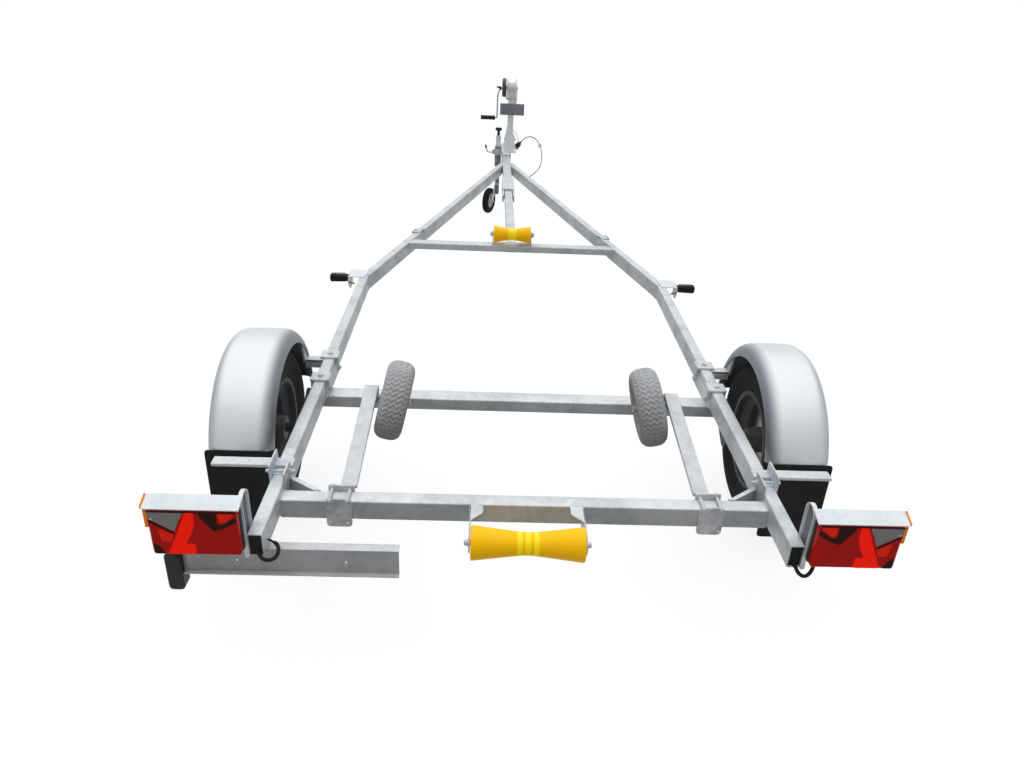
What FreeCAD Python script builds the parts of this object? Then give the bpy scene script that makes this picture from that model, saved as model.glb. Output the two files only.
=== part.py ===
"""Single-axle boat trailer: galvanised frame, keel rollers, support wheels, winch post and jockey wheel.

Millimetres. X runs to the right, Y forwards along the drawbar, Z up from the floor. Places along the
trailer are stations: distances forward of the rear ends of the side rails, turned into Y by st().
"""
import FreeCAD, Part
import math
import os

V = FreeCAD.Vector
UP = V(0, 0, 1)
ACROSS = V(1, 0, 0)

# ---- frame ----
RAIL_TOP = 450.0            # height of the rails' top faces
RAIL_W = 40.0
RAIL_H = 70.0
TUBE_WALL = 3.0
RAIL_GAUGE = 1378.0         # between the inner faces of the two rails
RAIL_STRAIGHT = 1948.0      # from the rear end to the bend, on the inner face
LEG_ANGLE = 14.7            # how far the drawbar legs turn inwards, degrees
LEG_NOSE = 73.0             # the legs' flat ends lie this far ahead of where they meet the drawbar

# ---- cross members ----
REAR_CROSS_AT = 180.0
REAR_CROSS_DEPTH = 50.0
REAR_CROSS_H = 62.0
REAR_CROSS_DROP = 20.0      # its top face below the rails' tops
END_PLATE_T = 5.0
END_PLATE_LEN = 126.0
END_PLATE_RISE = 30.0       # the end plates stand above the rails' tops
BRACE_REACH = 100.0         # the diagonal braces reach this far in from the rails
BRACE_W = 14.0
BRACE_H = 40.0
FRONT_CROSS_AHEAD = 532.0   # ahead of the rails' bend
FRONT_CROSS_DEPTH = 62.0
FRONT_CROSS_H = 35.0
SADDLE_LEN = 60.0           # clamp plates over the legs, ahead of the front cross member
SADDLE_GAP = 110.0
SADDLE_T = 6.0

# ---- drawbar ----
DRAWBAR_W = 60.0
DRAWBAR_WALL = 4.0
DRAWBAR_LAP = 759.9         # behind the point where the legs meet it
DRAWBAR_REACH = 690.1       # ahead of that point
KEEL_TUBE_W = 50.0          # the thinner tube from the front cross member into the drawbar
KEEL_TUBE_LAP = 200.0
COLLAR_W = 80.0
COLLAR_LEN = 330.0
COLLAR_CHEEK_LEN = 80.0

# ---- coupling ----
BALL_SOCKET_R = 25.3        # for a 50 mm ball
SOCKET_AHEAD = 170.0        # socket centre ahead of the drawbar's end
SOCKET_DEPTH = 24.0         # straight part of the socket below the ball's centre
HEAD_WALL = 11.0
HEAD_SLEEVE_LAP = 110.0
HEAD_SLEEVE_T = 5.0

# ---- axle and road wheels ----
WHEEL_R = 288.0             # 155 R13 tyre
TYRE_W = 155.0
WHEEL_OUT = 163.0           # the tyres' middle planes out from the rails
WHEEL_AT = 810.0
RIM_R = 165.0
RIM_WELL_R = 140.0
RIM_W = 122.0
RIM_OFFSET = 30.0           # the disc's outer face outboard of the middle plane
HUB_R = 48.0
HUB_LEN = 95.0
HUB_CAP_R = 31.0
BEAM_AHEAD = 105.0           # the beam's axis ahead of the wheels'
BEAM_DEPTH = 70.0
BEAM_H = 46.0
BEAM_WALL = 5.0
BEAM_OVERHANG = 12.0        # beam ends beyond the rails' outer faces
ARM_T = 28.0
ARM_W = 64.0
STUB_R = 16.0
BRACKET_LEN = 250.0         # axle brackets' length along the rail
BRACKET_BACK = 30.0         # how far they reach behind the beam
BRACKET_T = 5.0
BRACKET_UP = 40.0           # bracket cheeks' height on the rail's sides
CLAMP_LEN = 60.0            # clamp plates on top of the rails
CLAMP_W = 66.0
CLAMP_T = 8.0
BOLT_R = 6.0

# ---- mudguards ----
GUARD_AHEAD = 0.0           # the mudguards' centres ahead of the wheels' axis
GUARD_GAP = 63.0            # between the tyre's tread and the mudguard's outside
GUARD_T = 4.0
GUARD_W = 206.0
GUARD_INWARD = 0.0          # the mudguard's middle, inboard of the tyre's
GUARD_LIP = 50.0            # depth of its side walls
GUARD_SHOULDER = 47.0
GUARD_REAR_ANGLE = 17.5     # above horizontal, behind the wheel
GUARD_FRONT_ANGLE = 5.0    # above horizontal, ahead of the wheel
STAY_W = 40.0
STAY_T = 10.0
UBOLT_R = 5.0
HANGER_DROP = 38.0          # the rear stay's strap ends this far below the flap's top
STAY_LAP = 14.0             # the front stay's plate reaches this far up the mudguard's wall
STAY_SHORT = 80.0           # the rear stay ends this far inboard of the mudguard's outer wall
STAY_ANGLE = 48.0           # where the front stay meets the mudguard, above horizontal
REAR_STAY_BEHIND = 151.0    # behind the mudguard's rear
FRONT_STAY_BACK = 76.0      # behind the front end of the axle bracket
FLAP_T = 4.0
FLAP_INSET = 8.0            # its inner edge from the mudguard's inner wall
FLAP_BOTTOM = 112.0
FLAP_LAP = 6.0              # the flap's top, above the mudguard's rear end

# ---- tail lamps, their hoods and the number-plate holder ----
LAMP_W = 225.0
LAMP_H = 138.0
LAMP_D = 34.0
LAMP_DROP = 42.0            # the lamps' bottoms below the rails' tops
HOOD_W = 239.0
HOOD_D = 44.0
HOOD_RISE = 15.0            # the hoods slope down towards the rear
HOOD_T = 3.0
HOOD_GAP = 6.0              # between a lamp's top and the top of its hood
HOOD_OVERHANG = 36.0        # the hoods reach this far behind the rails' ends
POSTER_T = 12.0             # upright lamp channels, across
POSTER_D = 56.0
PLATE_LEN = 574.0
PLATE_H = 80.0
PLATE_T = 3.0
PLATE_LIP = 21.0
PLATE_AT = 38.0
PLATE_DROP = 7.0            # its flange below the rails' bottoms
PLATE_INWARD = 344.0        # its right end, inboard of the left rail
PLATE_HOLE_R = 3.0
PLATE_HOLE_GAP = 290.0
BLOCK_W = 34.0
BLOCK_H = 122.0
BLOCK_D = 48.0

# ---- keel rollers ----
ROLLER_PIN_R = 8.0
ROLLER_CLEAR = 0.5
REAR_ROLLER_LEN = 308.0
REAR_ROLLER_R = 48.0
REAR_ROLLER_WAIST_R = 31.0
REAR_ROLLER_AT = 55.0
REAR_ROLLER_DROP = 55.0     # its axis below the rails' tops
FRONT_ROLLER_LEN = 196.0
FRONT_ROLLER_R = 45.0
FRONT_ROLLER_WAIST_R = 29.0
FRONT_ROLLER_RISE = 55.0    # its axis above the rails' tops
ROLLER_PLATE_T = 5.0
ROLLER_SIDE_GAP = 5.0
ARM_FLANGE = 40.0

# ---- support wheels ----
SUPPORT_R = 133.0
SUPPORT_W = 92.0
SUPPORT_RIM_R = 66.0
SUPPORT_LEAN = 13.0         # wheels lean inwards at the top, degrees
SUPPORT_AT = 700.0
SUPPORT_X = 427.0
SUPPORT_Z = 470.0
SUPPORT_ARM_X = 505.0
SUPPORT_ARM_W = 45.0
SUPPORT_ARM_T = 12.0
SUPPORT_STUB_R = 10.0
SUPPORT_PLATE_W = 74.0
SUPPORT_PLATE_T = 6.0
SUPPORT_PLATE_X = 521.0

# ---- side markers ----
MARKER_AHEAD = 20.0         # ahead of the rails' bend
MARKER_PLATE_LEN = 100.0
MARKER_PLATE_T = 4.0
MARKER_OUT = 52.0           # bracket plate's reach beyond the rail
MARKER_W = 80.0
MARKER_H = 36.0
MARKER_D = 40.0

# ---- winch post ----
POST_BEHIND = 320.0         # behind the drawbar's front end
POST_X = 22.0               # the post stands to the right of the drawbar's middle
POST_W = 45.0
POST_TOP = 874.0
FOOT_RISE = 26.0            # the foot plate above the drawbar
FOOT_T = 8.0
FOOT_LEFT = -35.0
FOOT_RIGHT = 76.0
FOOT_D = 84.0
CHEEK_T = 6.0
BOX_W = 80.0
BOX_TOP = 600.0
STOP_LEFT = -93.0
STOP_RIGHT = 93.0
STOP_BOTTOM = 762.0
STOP_H = 84.0
STOP_T = 22.0

# ---- winch ----
WINCH_PLATE_T = 4.0
WINCH_BASE_T = 6.0
DRUM_Z = 957.0
DRUM_CORE_R = 41.0
DRUM_FLANGE_R = 71.0
DRUM_LEFT = -33.0
DRUM_RIGHT = 35.0
DRUM_FLANGE_T = 3.0
DRUM_AXLE_R = 9.0
CRANK_AHEAD = 55.0          # crank shaft ahead of the drum's axle
CRANK_DROP = 11.0           # and below it
CRANK_R = 222.0
CRANK_ROD_R = 6.0
CRANK_SHAFT_R = 8.0
GRIP_R = 16.0
GRIP_LEN = 114.0
COVER_R = 69.0
COVER_T = 31.0
GEAR_R = 44.0
PINION_R = 12.0
GEAR_T = 12.0
WINCH_GAP = 5.0

# ---- jockey wheel ----
JOCKEY_BEHIND = 30.0        # behind the winch post
JOCKEY_X = -67.0
JOCKEY_SLEEVE_R = 25.0
JOCKEY_SLEEVE_BOTTOM = 370.0
JOCKEY_SLEEVE_TOP = 500.0
JOCKEY_WALL = 3.0
JOCKEY_LEG_R = 17.0
JOCKEY_CLEAR = 0.08         # the leg slides in its bushes
JOCKEY_LEG_TOP = 462.0
JOCKEY_BORE_TOP = 598.0
JOCKEY_SEAT_GAP = 0.3       # between the fork's crown and the leg above it
JOCKEY_WHEEL_R = 100.0
JOCKEY_WHEEL_W = 48.0
JOCKEY_RIM_R = 60.0
JOCKEY_TRAIL = 60.0
JOCKEY_SIDE = 42.0
JOCKEY_TURN = -22.0         # the caster as it was left, degrees about Z
JOCKEY_CROWN_Z = 222.0
JOCKEY_CROWN_T = 10.0
JOCKEY_PLATE_T = 5.0
JOCKEY_HEAD_TOP = 666.0
CLAMP_RING_R = 31.0
CLAMP_RING_H = 44.0

# ---- light cable and plug ----
CABLE_R = 4.0
LAMP_CABLE_R = 3.0
PLUG_R = 17.0

# ---- worked out from the above ----
RAIL_IN = RAIL_GAUGE / 2
RAIL_OUT = RAIL_IN + RAIL_W
RAIL_BOTTOM = RAIL_TOP - RAIL_H
LEG_SLOPE = math.tan(math.radians(LEG_ANGLE))
APEX_AT = RAIL_STRAIGHT + (RAIL_IN - DRAWBAR_W / 2) / LEG_SLOPE
DRAWBAR_TOP = RAIL_TOP
DRAWBAR_MID_Z = DRAWBAR_TOP - DRAWBAR_W / 2
DRAWBAR_REAR_AT = APEX_AT - DRAWBAR_LAP
DRAWBAR_FRONT_AT = APEX_AT + DRAWBAR_REACH
SOCKET_AT = DRAWBAR_FRONT_AT + SOCKET_AHEAD
HEAD_R = BALL_SOCKET_R + HEAD_WALL
NOSE_AT = SOCKET_AT + HEAD_R
REAR_Y = -(NOSE_AT - HOOD_OVERHANG) / 2     # rails' rear ends, so that Y = 0 is half way along
FRONT_CROSS_AT = RAIL_STRAIGHT + FRONT_CROSS_AHEAD
FRONT_ROLLER_AT = FRONT_CROSS_AT + FRONT_CROSS_DEPTH / 2
FRONT_ROLLER_Z = RAIL_TOP + FRONT_ROLLER_RISE
REAR_ROLLER_Z = RAIL_TOP - REAR_ROLLER_DROP
MARKER_AT = RAIL_STRAIGHT + MARKER_AHEAD
BEAM_TOP = RAIL_BOTTOM
BEAM_AT = WHEEL_AT + BEAM_AHEAD
BRACKET_REAR_AT = BEAM_AT - BEAM_DEPTH / 2 - BRACKET_BACK
BRACKET_FRONT_AT = BRACKET_REAR_AT + BRACKET_LEN
WHEEL_X = RAIL_OUT + WHEEL_OUT
GUARD_AT = WHEEL_AT + GUARD_AHEAD
GUARD_R = WHEEL_R + GUARD_GAP
GUARD_LIP_R = GUARD_R - GUARD_LIP
GUARD_INNER_X = WHEEL_X - GUARD_INWARD - GUARD_W / 2
GUARD_OUTER_X = GUARD_INNER_X + GUARD_W
FLAP_TOP = WHEEL_R + GUARD_R * math.sin(math.radians(GUARD_REAR_ANGLE)) + FLAP_LAP
GUARD_REAR_S = GUARD_AT - GUARD_R * math.cos(math.radians(GUARD_REAR_ANGLE))
FLAP_AT = GUARD_REAR_S + 0.5 - FLAP_T
HANGER_FOOT = FLAP_TOP - HANGER_DROP
REAR_STAY_AT = GUARD_AT - GUARD_R - REAR_STAY_BEHIND
FRONT_STAY_AT = BRACKET_FRONT_AT - FRONT_STAY_BACK
LAMP_X0 = RAIL_OUT + 4
LAMP_X1 = LAMP_X0 + LAMP_W
LAMP_BACK = -2.0
LAMP_BOTTOM = RAIL_TOP - LAMP_DROP
HOOD_TOP = LAMP_BOTTOM + LAMP_H + HOOD_GAP
PLATE_TOP = RAIL_BOTTOM - PLATE_DROP
PLATE_RIGHT_X = PLATE_INWARD - RAIL_IN
PLATE_MID_X = PLATE_RIGHT_X - PLATE_LEN / 2
PLATE_HOLE_Z = PLATE_TOP - PLATE_H / 2
POST_AT = DRAWBAR_FRONT_AT - POST_BEHIND
FOOT_Z = DRAWBAR_TOP + FOOT_RISE
JOCKEY_AT = POST_AT - JOCKEY_BEHIND

nodes = {}


def st(station):
    """Y of a station, measured forwards from the rear ends of the rails."""
    return REAR_Y + station


def box(x0, x1, s0, s1, z0, z1):
    """A block between two X values, two stations and two heights, in any order."""
    xs, ss, zs = sorted((x0, x1)), sorted((s0, s1)), sorted((z0, z1))
    return Part.makeBox(xs[1] - xs[0], ss[1] - ss[0], zs[1] - zs[0], V(xs[0], st(ss[0]), zs[0]))


def rod(radius, start, end):
    """A round bar between two points whose middle value is a station."""
    a = V(start[0], st(start[1]), start[2])
    b = V(end[0], st(end[1]), end[2])
    return Part.makeCylinder(radius, (b - a).Length, a, b - a)


def plan_prism(outline, z0, z1):
    """An upright prism over a list of (x, station)."""
    points = [V(x, st(s), z0) for x, s in outline]
    return Part.Face(Part.makePolygon(points + points[:1])).extrude(V(0, 0, z1 - z0))


def side_prism(outline, x0, x1):
    """A prism across the trailer, over a list of (station, z)."""
    points = [V(x0, st(s), z) for s, z in outline]
    return Part.Face(Part.makePolygon(points + points[:1])).extrude(V(x1 - x0, 0, 0))


def turned(outline, centre, axis=ACROSS, angle=360.0, start=V(0, 0, 1)):
    """A solid of revolution over (along, radius) points; `along` runs on the axis from the centre."""
    points = [centre + axis * a + start * r for a, r in outline]
    return Part.Face(Part.makePolygon(points + points[:1])).revolve(centre, axis, angle)


def fuse(first, *others):
    return first.fuse(list(others)).removeSplitter()


def mirrored(shape):
    return shape.mirror(V(0, 0, 0), ACROSS)


def pair(name, right_shape):
    """Keep a right-hand piece and its mirror image as NAME_right and NAME_left."""
    nodes[name + "_right"] = right_shape
    nodes[name + "_left"] = mirrored(right_shape)


# ---- frame tubes -------------------------------------------------------------------------------

def rail_outline(inset):
    """Plan of the right rail's straight part, with its mitred front end, narrowed by `inset`."""
    half_turn = math.tan(math.radians(LEG_ANGLE / 2))
    inner, outer = RAIL_IN + inset, RAIL_OUT - inset
    end_in = RAIL_STRAIGHT + inset * half_turn
    end_out = RAIL_STRAIGHT + (RAIL_W - inset) * half_turn
    return [(inner, 0), (outer, 0), (outer, end_out), (inner, end_in)]


def leg_outline(inset):
    """Plan of the right drawbar leg from the mitre to the drawbar's side, narrowed by `inset`."""
    half_turn = math.tan(math.radians(LEG_ANGLE / 2))
    side = DRAWBAR_W / 2
    shift = 1 / math.cos(math.radians(LEG_ANGLE))

    def x_at(station, offset):
        return RAIL_IN + offset * shift - (station - RAIL_STRAIGHT) * LEG_SLOPE

    def meets(offset):
        return RAIL_STRAIGHT + (RAIL_IN + offset * shift - side) / LEG_SLOPE

    end = APEX_AT + LEG_NOSE
    return [(RAIL_IN + inset, RAIL_STRAIGHT + inset * half_turn), (side, meets(inset)), (side, end),
            (x_at(end, RAIL_W - inset), end),
            (RAIL_OUT - inset, RAIL_STRAIGHT + (RAIL_W - inset) * half_turn)]


def hollow(outline, z0, z1, wall):
    """A tube that follows a plan outline function, open at both ends."""
    return plan_prism(outline(0), z0, z1).cut(plan_prism(outline(wall), z0 + wall, z1 - wall))


def frame_tubes():
    pair("side_rail", hollow(rail_outline, RAIL_BOTTOM, RAIL_TOP, TUBE_WALL))
    pair("drawbar_leg", hollow(leg_outline, RAIL_BOTTOM, RAIL_TOP, TUBE_WALL))


def leg_x(station):
    """X of the right leg's inner face at a station."""
    return RAIL_IN - (station - RAIL_STRAIGHT) * LEG_SLOPE


def square_tube(x, s0, s1, z_top, width, wall, bore=True):
    """A square tube along the trailer."""
    half = width / 2
    outer = box(x - half, x + half, s0, s1, z_top - width, z_top)
    inner = box(x - half + wall, x + half - wall, s0, s1, z_top - width + wall, z_top - wall)
    return outer.cut(inner) if bore else outer


def cross_members():
    top = RAIL_TOP - REAR_CROSS_DROP
    bottom = top - REAR_CROSS_H
    edge = RAIL_IN - END_PLATE_T
    rear, front = REAR_CROSS_AT, REAR_CROSS_AT + REAR_CROSS_DEPTH
    w = TUBE_WALL
    tube = box(-RAIL_IN, RAIL_IN, rear, front, bottom, top).cut(
        box(-RAIL_IN, RAIL_IN, rear + w, front - w, bottom + w, top - w))
    parts = [tube]
    for sign in (-1, 1):
        parts.append(box(sign * edge, sign * RAIL_IN, front, rear + END_PLATE_LEN,
                         bottom, RAIL_TOP + END_PLATE_RISE))
        far = rear + END_PLATE_LEN
        brace = [(sign * edge, far), (sign * edge, far - BRACE_W * 1.4),
                 (sign * (edge - BRACE_REACH + BRACE_W * 1.4), front), (sign * (edge - BRACE_REACH), front)]
        parts.append(plan_prism(brace, top - BRACE_H, top))
    nodes["rear_cross_member"] = fuse(*parts)

    s0, s1 = FRONT_CROSS_AT, FRONT_CROSS_AT + FRONT_CROSS_DEPTH
    low = RAIL_TOP - FRONT_CROSS_H
    outer = [(-leg_x(s0), s0), (leg_x(s0), s0), (leg_x(s1), s1), (-leg_x(s1), s1)]
    a, b = s0 + w, s1 - w
    inner = [(-leg_x(a), a), (leg_x(a), a), (leg_x(b), b), (-leg_x(b), b)]
    parts = [plan_prism(outer, low, RAIL_TOP).cut(plan_prism(inner, low + w, RAIL_TOP - w))]
    across = 1 / math.cos(math.radians(LEG_ANGLE))
    for sign in (-1, 1):
        a, b, c = s1 - 1, s1 + SADDLE_GAP, s1 + SADDLE_GAP + SADDLE_LEN
        t = SADDLE_T * across
        strip = [(sign * leg_x(s1 - 20), s1 - 20), (sign * leg_x(c), c),
                 (sign * (leg_x(c) - t), c), (sign * (leg_x(s1 - 20) - t), s1 - 20)]
        wide = (RAIL_W + SADDLE_T) * across
        cap = [(sign * (leg_x(b) - t), b), (sign * (leg_x(b) + wide), b),
               (sign * (leg_x(c) + wide), c), (sign * (leg_x(c) - t), c)]
        outside = [(sign * (leg_x(b) + RAIL_W * across), b), (sign * (leg_x(b) + wide), b),
                   (sign * (leg_x(c) + wide), c), (sign * (leg_x(c) + RAIL_W * across), c)]
        parts += [plan_prism(strip, low, RAIL_TOP + SADDLE_T),
                  plan_prism(cap, RAIL_TOP, RAIL_TOP + SADDLE_T),
                  plan_prism(outside, low, RAIL_TOP + SADDLE_T)]
    nodes["front_cross_member"] = fuse(*parts)


def drawbar():
    tube = square_tube(0, DRAWBAR_REAR_AT, DRAWBAR_FRONT_AT, DRAWBAR_TOP, DRAWBAR_W, DRAWBAR_WALL)
    nodes["drawbar_tube"] = tube
    inset = (DRAWBAR_W - KEEL_TUBE_W) / 2
    nodes["keel_tube"] = square_tube(0, FRONT_CROSS_AT + FRONT_CROSS_DEPTH, DRAWBAR_REAR_AT + KEEL_TUBE_LAP,
                                     DRAWBAR_TOP - inset, KEEL_TUBE_W, TUBE_WALL)
    half = COLLAR_W / 2
    low = DRAWBAR_TOP - DRAWBAR_W - 10
    s0, s1 = DRAWBAR_REAR_AT, DRAWBAR_REAR_AT + COLLAR_LEN
    shell = box(-half, half, s0, s1, low, DRAWBAR_TOP + 8).cut(
        box(-DRAWBAR_W / 2, DRAWBAR_W / 2, s0, s1, low, DRAWBAR_TOP))
    cheek = [(s0, DRAWBAR_TOP), (s0 - COLLAR_CHEEK_LEN, DRAWBAR_TOP - 20),
             (s0 - COLLAR_CHEEK_LEN, low + 10), (s0, low)]
    thick = (COLLAR_W - DRAWBAR_W) / 2
    cheeks = [side_prism(cheek, x, x + thick) for x in (-half, half - thick)]
    nodes["drawbar_collar"] = fuse(shell, *cheeks)


def coupling():
    centre = V(0, st(SOCKET_AT), DRAWBAR_MID_Z)
    down = V(0, 0, -1)
    low = DRAWBAR_MID_Z - SOCKET_DEPTH
    head = Part.makeSphere(HEAD_R, centre)
    skirt = Part.makeCylinder(HEAD_R, SOCKET_DEPTH, centre, down)
    neck_half = HEAD_R - 6
    sleeve_end = DRAWBAR_FRONT_AT + 14
    out = DRAWBAR_W / 2 + HEAD_SLEEVE_T
    nose = plan_prism([(-out, sleeve_end - 2), (out, sleeve_end - 2), (neck_half, SOCKET_AT - 20),
                       (-neck_half, SOCKET_AT - 20)], low, DRAWBAR_TOP + HEAD_SLEEVE_T - 12)
    sleeve = box(-out, out, DRAWBAR_FRONT_AT - HEAD_SLEEVE_LAP, sleeve_end, DRAWBAR_MID_Z - 20,
                 DRAWBAR_TOP + HEAD_SLEEVE_T)
    solid = fuse(head, skirt, nose, sleeve)
    hole = fuse(Part.makeSphere(BALL_SOCKET_R, centre),
                Part.makeCylinder(BALL_SOCKET_R, SOCKET_DEPTH + HEAD_R, centre, down))
    tube = box(-DRAWBAR_W / 2, DRAWBAR_W / 2, DRAWBAR_REAR_AT, DRAWBAR_FRONT_AT,
               DRAWBAR_TOP - DRAWBAR_W, DRAWBAR_TOP)
    below = Part.makeBox(400, 600, 200, V(-200, st(DRAWBAR_FRONT_AT) - 300, low - 200))
    z = DRAWBAR_TOP + HEAD_SLEEVE_T
    handle = side_prism([(SOCKET_AT - 30, z - 14), (SOCKET_AT + 6, z - 12), (SOCKET_AT - 10, z + 14),
                         (SOCKET_AT - 90, z + 40), (SOCKET_AT - 150, z + 44), (SOCKET_AT - 150, z + 30),
                         (SOCKET_AT - 95, z + 24)], -14, 14)
    nodes["coupling_head"] = fuse(solid, handle).cut([hole, tube, below])


# ---- axle, wheels and mudguards ----------------------------------------------------------------

def axle():
    end = RAIL_OUT + BEAM_OVERHANG
    s0, s1 = BEAM_AT - BEAM_DEPTH / 2, BEAM_AT + BEAM_DEPTH / 2
    w = BEAM_WALL
    nodes["axle_beam"] = box(-end, end, s0, s1, BEAM_TOP - BEAM_H, BEAM_TOP).cut(
        box(-end, end, s0 + w, s1 - w, BEAM_TOP - BEAM_H + w, BEAM_TOP - w))

    rear, front = BRACKET_REAR_AT, BRACKET_FRONT_AT
    pieces = []
    for x0, x1 in ((RAIL_IN - BRACKET_T, RAIL_IN), (RAIL_OUT, RAIL_OUT + BRACKET_T)):
        cheek = [(rear, RAIL_BOTTOM + 8), (s0, RAIL_BOTTOM), (s1, RAIL_BOTTOM),
                 (front, RAIL_BOTTOM - BRACKET_T), (front, RAIL_BOTTOM + BRACKET_UP),
                 (rear + 20, RAIL_BOTTOM + BRACKET_UP)]
        pieces.append(side_prism(cheek, x0, x1))
    pieces.append(box(RAIL_IN - BRACKET_T, RAIL_OUT + BRACKET_T, s1 + 2, front,
                      RAIL_BOTTOM - BRACKET_T, RAIL_BOTTOM))
    bracket = fuse(*pieces)
    middle = (RAIL_IN + RAIL_OUT) / 2
    half = CLAMP_W / 2
    clamps = []
    for s in (rear + 6, front - CLAMP_LEN):
        plate = box(middle - half, middle + half, s, s + CLAMP_LEN, RAIL_TOP, RAIL_TOP + CLAMP_T)
        parts = [plate, rod(BOLT_R * 1.6, (middle, s + CLAMP_LEN / 2, RAIL_TOP),
                            (middle, s + CLAMP_LEN / 2, RAIL_TOP + CLAMP_T + 7))]
        for x0, x1 in ((middle - half, RAIL_IN), (RAIL_OUT, middle + half)):
            parts.append(box(x0, x1, s + 12, s + CLAMP_LEN - 12, RAIL_BOTTOM + BRACKET_UP, RAIL_TOP))
        clamps.append(fuse(*parts))
    pair("axle_bracket", fuse(bracket, *clamps, *front_stay()))

    start = (RAIL_OUT + BEAM_OVERHANG, BEAM_AT, BEAM_TOP - BEAM_H / 2)
    x0, x1 = start[0], start[0] + ARM_T
    big, small = ARM_W / 2, ARM_W / 2 - 4
    dy, dz = WHEEL_AT - BEAM_AT, WHEEL_R - start[2]
    length = math.hypot(dy, dz)
    n = (-dz / length, dy / length)
    web = side_prism([(BEAM_AT + n[0] * big, start[2] + n[1] * big),
                      (WHEEL_AT + n[0] * small, WHEEL_R + n[1] * small),
                      (WHEEL_AT - n[0] * small, WHEEL_R - n[1] * small),
                      (BEAM_AT - n[0] * big, start[2] - n[1] * big)], x0, x1)
    arm = fuse(rod(big, (x0, BEAM_AT, start[2]), (x1, BEAM_AT, start[2])),
               rod(small, (x0, WHEEL_AT, WHEEL_R), (x1, WHEEL_AT, WHEEL_R)), web,
               rod(STUB_R, (x0, WHEEL_AT, WHEEL_R), (WHEEL_X + RIM_OFFSET, WHEEL_AT, WHEEL_R)))
    pair("swing_arm", arm)


def road_wheels():
    centre = V(WHEEL_X, st(WHEEL_AT), WHEEL_R)
    h, rim = TYRE_W / 2, RIM_R
    seat = RIM_W / 2
    tyre = turned([(-seat + 8, rim), (-seat, rim + 14), (-h + 6, rim + 45), (-h, rim + 70),
                   (-h + 10, WHEEL_R - 22), (-h + 24, WHEEL_R - 5), (-h + 36, WHEEL_R), (h - 36, WHEEL_R),
                   (h - 24, WHEEL_R - 5), (h - 10, WHEEL_R - 22), (h, rim + 70), (h - 6, rim + 45),
                   (seat, rim + 14), (seat - 8, rim)], centre)

    wall = 4.0
    outer = RIM_OFFSET
    barrel = turned([(-seat - 1, rim + 12), (-seat - 1, rim - 4), (-seat + 22, rim - 5),
                     (-18, RIM_WELL_R - wall), (16, RIM_WELL_R - wall), (seat - 16, rim - 5),
                     (seat + 1, rim - 4), (seat + 1, rim + 12), (seat - 3, rim + 12), (seat - 9, rim),
                     (seat - 20, rim), (16, RIM_WELL_R), (-18, RIM_WELL_R), (-seat + 24, rim),
                     (-seat + 9, rim), (-seat + 3, rim + 12)], centre)
    disc = turned([(outer - 6, HUB_CAP_R - 2), (outer, HUB_CAP_R - 2), (outer, 70), (outer + 12, 88),
                   (outer + 8, 112), (12, RIM_WELL_R - wall / 2), (6, RIM_WELL_R - wall / 2),
                   (outer + 2, 110), (outer + 5, 88), (outer - 6, 72)], centre)
    clear = STUB_R + 0.5
    hub = turned([(outer - HUB_LEN, clear), (outer - HUB_LEN, HUB_R - 6), (outer - 30, HUB_R),
                  (outer - 18, HUB_R), (outer - 18, 64), (outer - 5, 64), (outer - 5, HUB_CAP_R),
                  (outer + 26, HUB_CAP_R - 3), (outer + 30, 0), (outer + 2, 0), (outer + 2, clear)],
                 centre)
    rim_solid = fuse(barrel, disc, hub)
    pair("rim", rim_solid)
    pair("tyre", tyre.cut(rim_solid))


def mudguards():
    """A bent shell: one arc of a channel section with rounded shoulders, around the wheel's axis."""
    t, r, q = GUARD_T, GUARD_R, GUARD_SHOULDER

    def section(inset):
        top = r - inset
        x0, x1 = GUARD_INNER_X + inset, GUARD_OUTER_X - inset
        bend = q - inset
        d = bend * (1 - math.sqrt(0.5))
        return top, x0, x1, bend, d

    wheel = V(0, st(GUARD_AT), WHEEL_R)

    def at(x, radius):
        return wheel + V(x, 0, radius)

    edges = []
    top, x0, x1, bend, d = section(0)
    edges += [Part.makeLine(at(x0, GUARD_LIP_R), at(x0, top - bend)),
              Part.Arc(at(x0, top - bend), at(x0 + d, top - d), at(x0 + bend, top)).toShape(),
              Part.makeLine(at(x0 + bend, top), at(x1 - bend, top)),
              Part.Arc(at(x1 - bend, top), at(x1 - d, top - d), at(x1, top - bend)).toShape(),
              Part.makeLine(at(x1, top - bend), at(x1, GUARD_LIP_R)),
              Part.makeLine(at(x1, GUARD_LIP_R), at(x1 - t, GUARD_LIP_R))]
    top, x0, x1, bend, d = section(t)
    edges += [Part.makeLine(at(x1, GUARD_LIP_R), at(x1, top - bend)),
              Part.Arc(at(x1, top - bend), at(x1 - d, top - d), at(x1 - bend, top)).toShape(),
              Part.makeLine(at(x1 - bend, top), at(x0 + bend, top)),
              Part.Arc(at(x0 + bend, top), at(x0 + d, top - d), at(x0, top - bend)).toShape(),
              Part.makeLine(at(x0, top - bend), at(x0, GUARD_LIP_R)),
              Part.makeLine(at(x0, GUARD_LIP_R), at(x0 - t, GUARD_LIP_R))]
    face = Part.Face(Part.Wire(Part.__sortEdges__(edges)))
    face.rotate(wheel, ACROSS, -(90 - GUARD_FRONT_ANGLE))
    guard = face.revolve(wheel, ACROSS, 180 - GUARD_FRONT_ANGLE - GUARD_REAR_ANGLE)
    pair("mudguard", guard)

    flap = box(GUARD_INNER_X + FLAP_INSET, GUARD_OUTER_X, FLAP_AT, FLAP_AT + FLAP_T,
               FLAP_BOTTOM, FLAP_TOP)
    pair("mudflap", flap.cut(guard).Solids[0])


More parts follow.
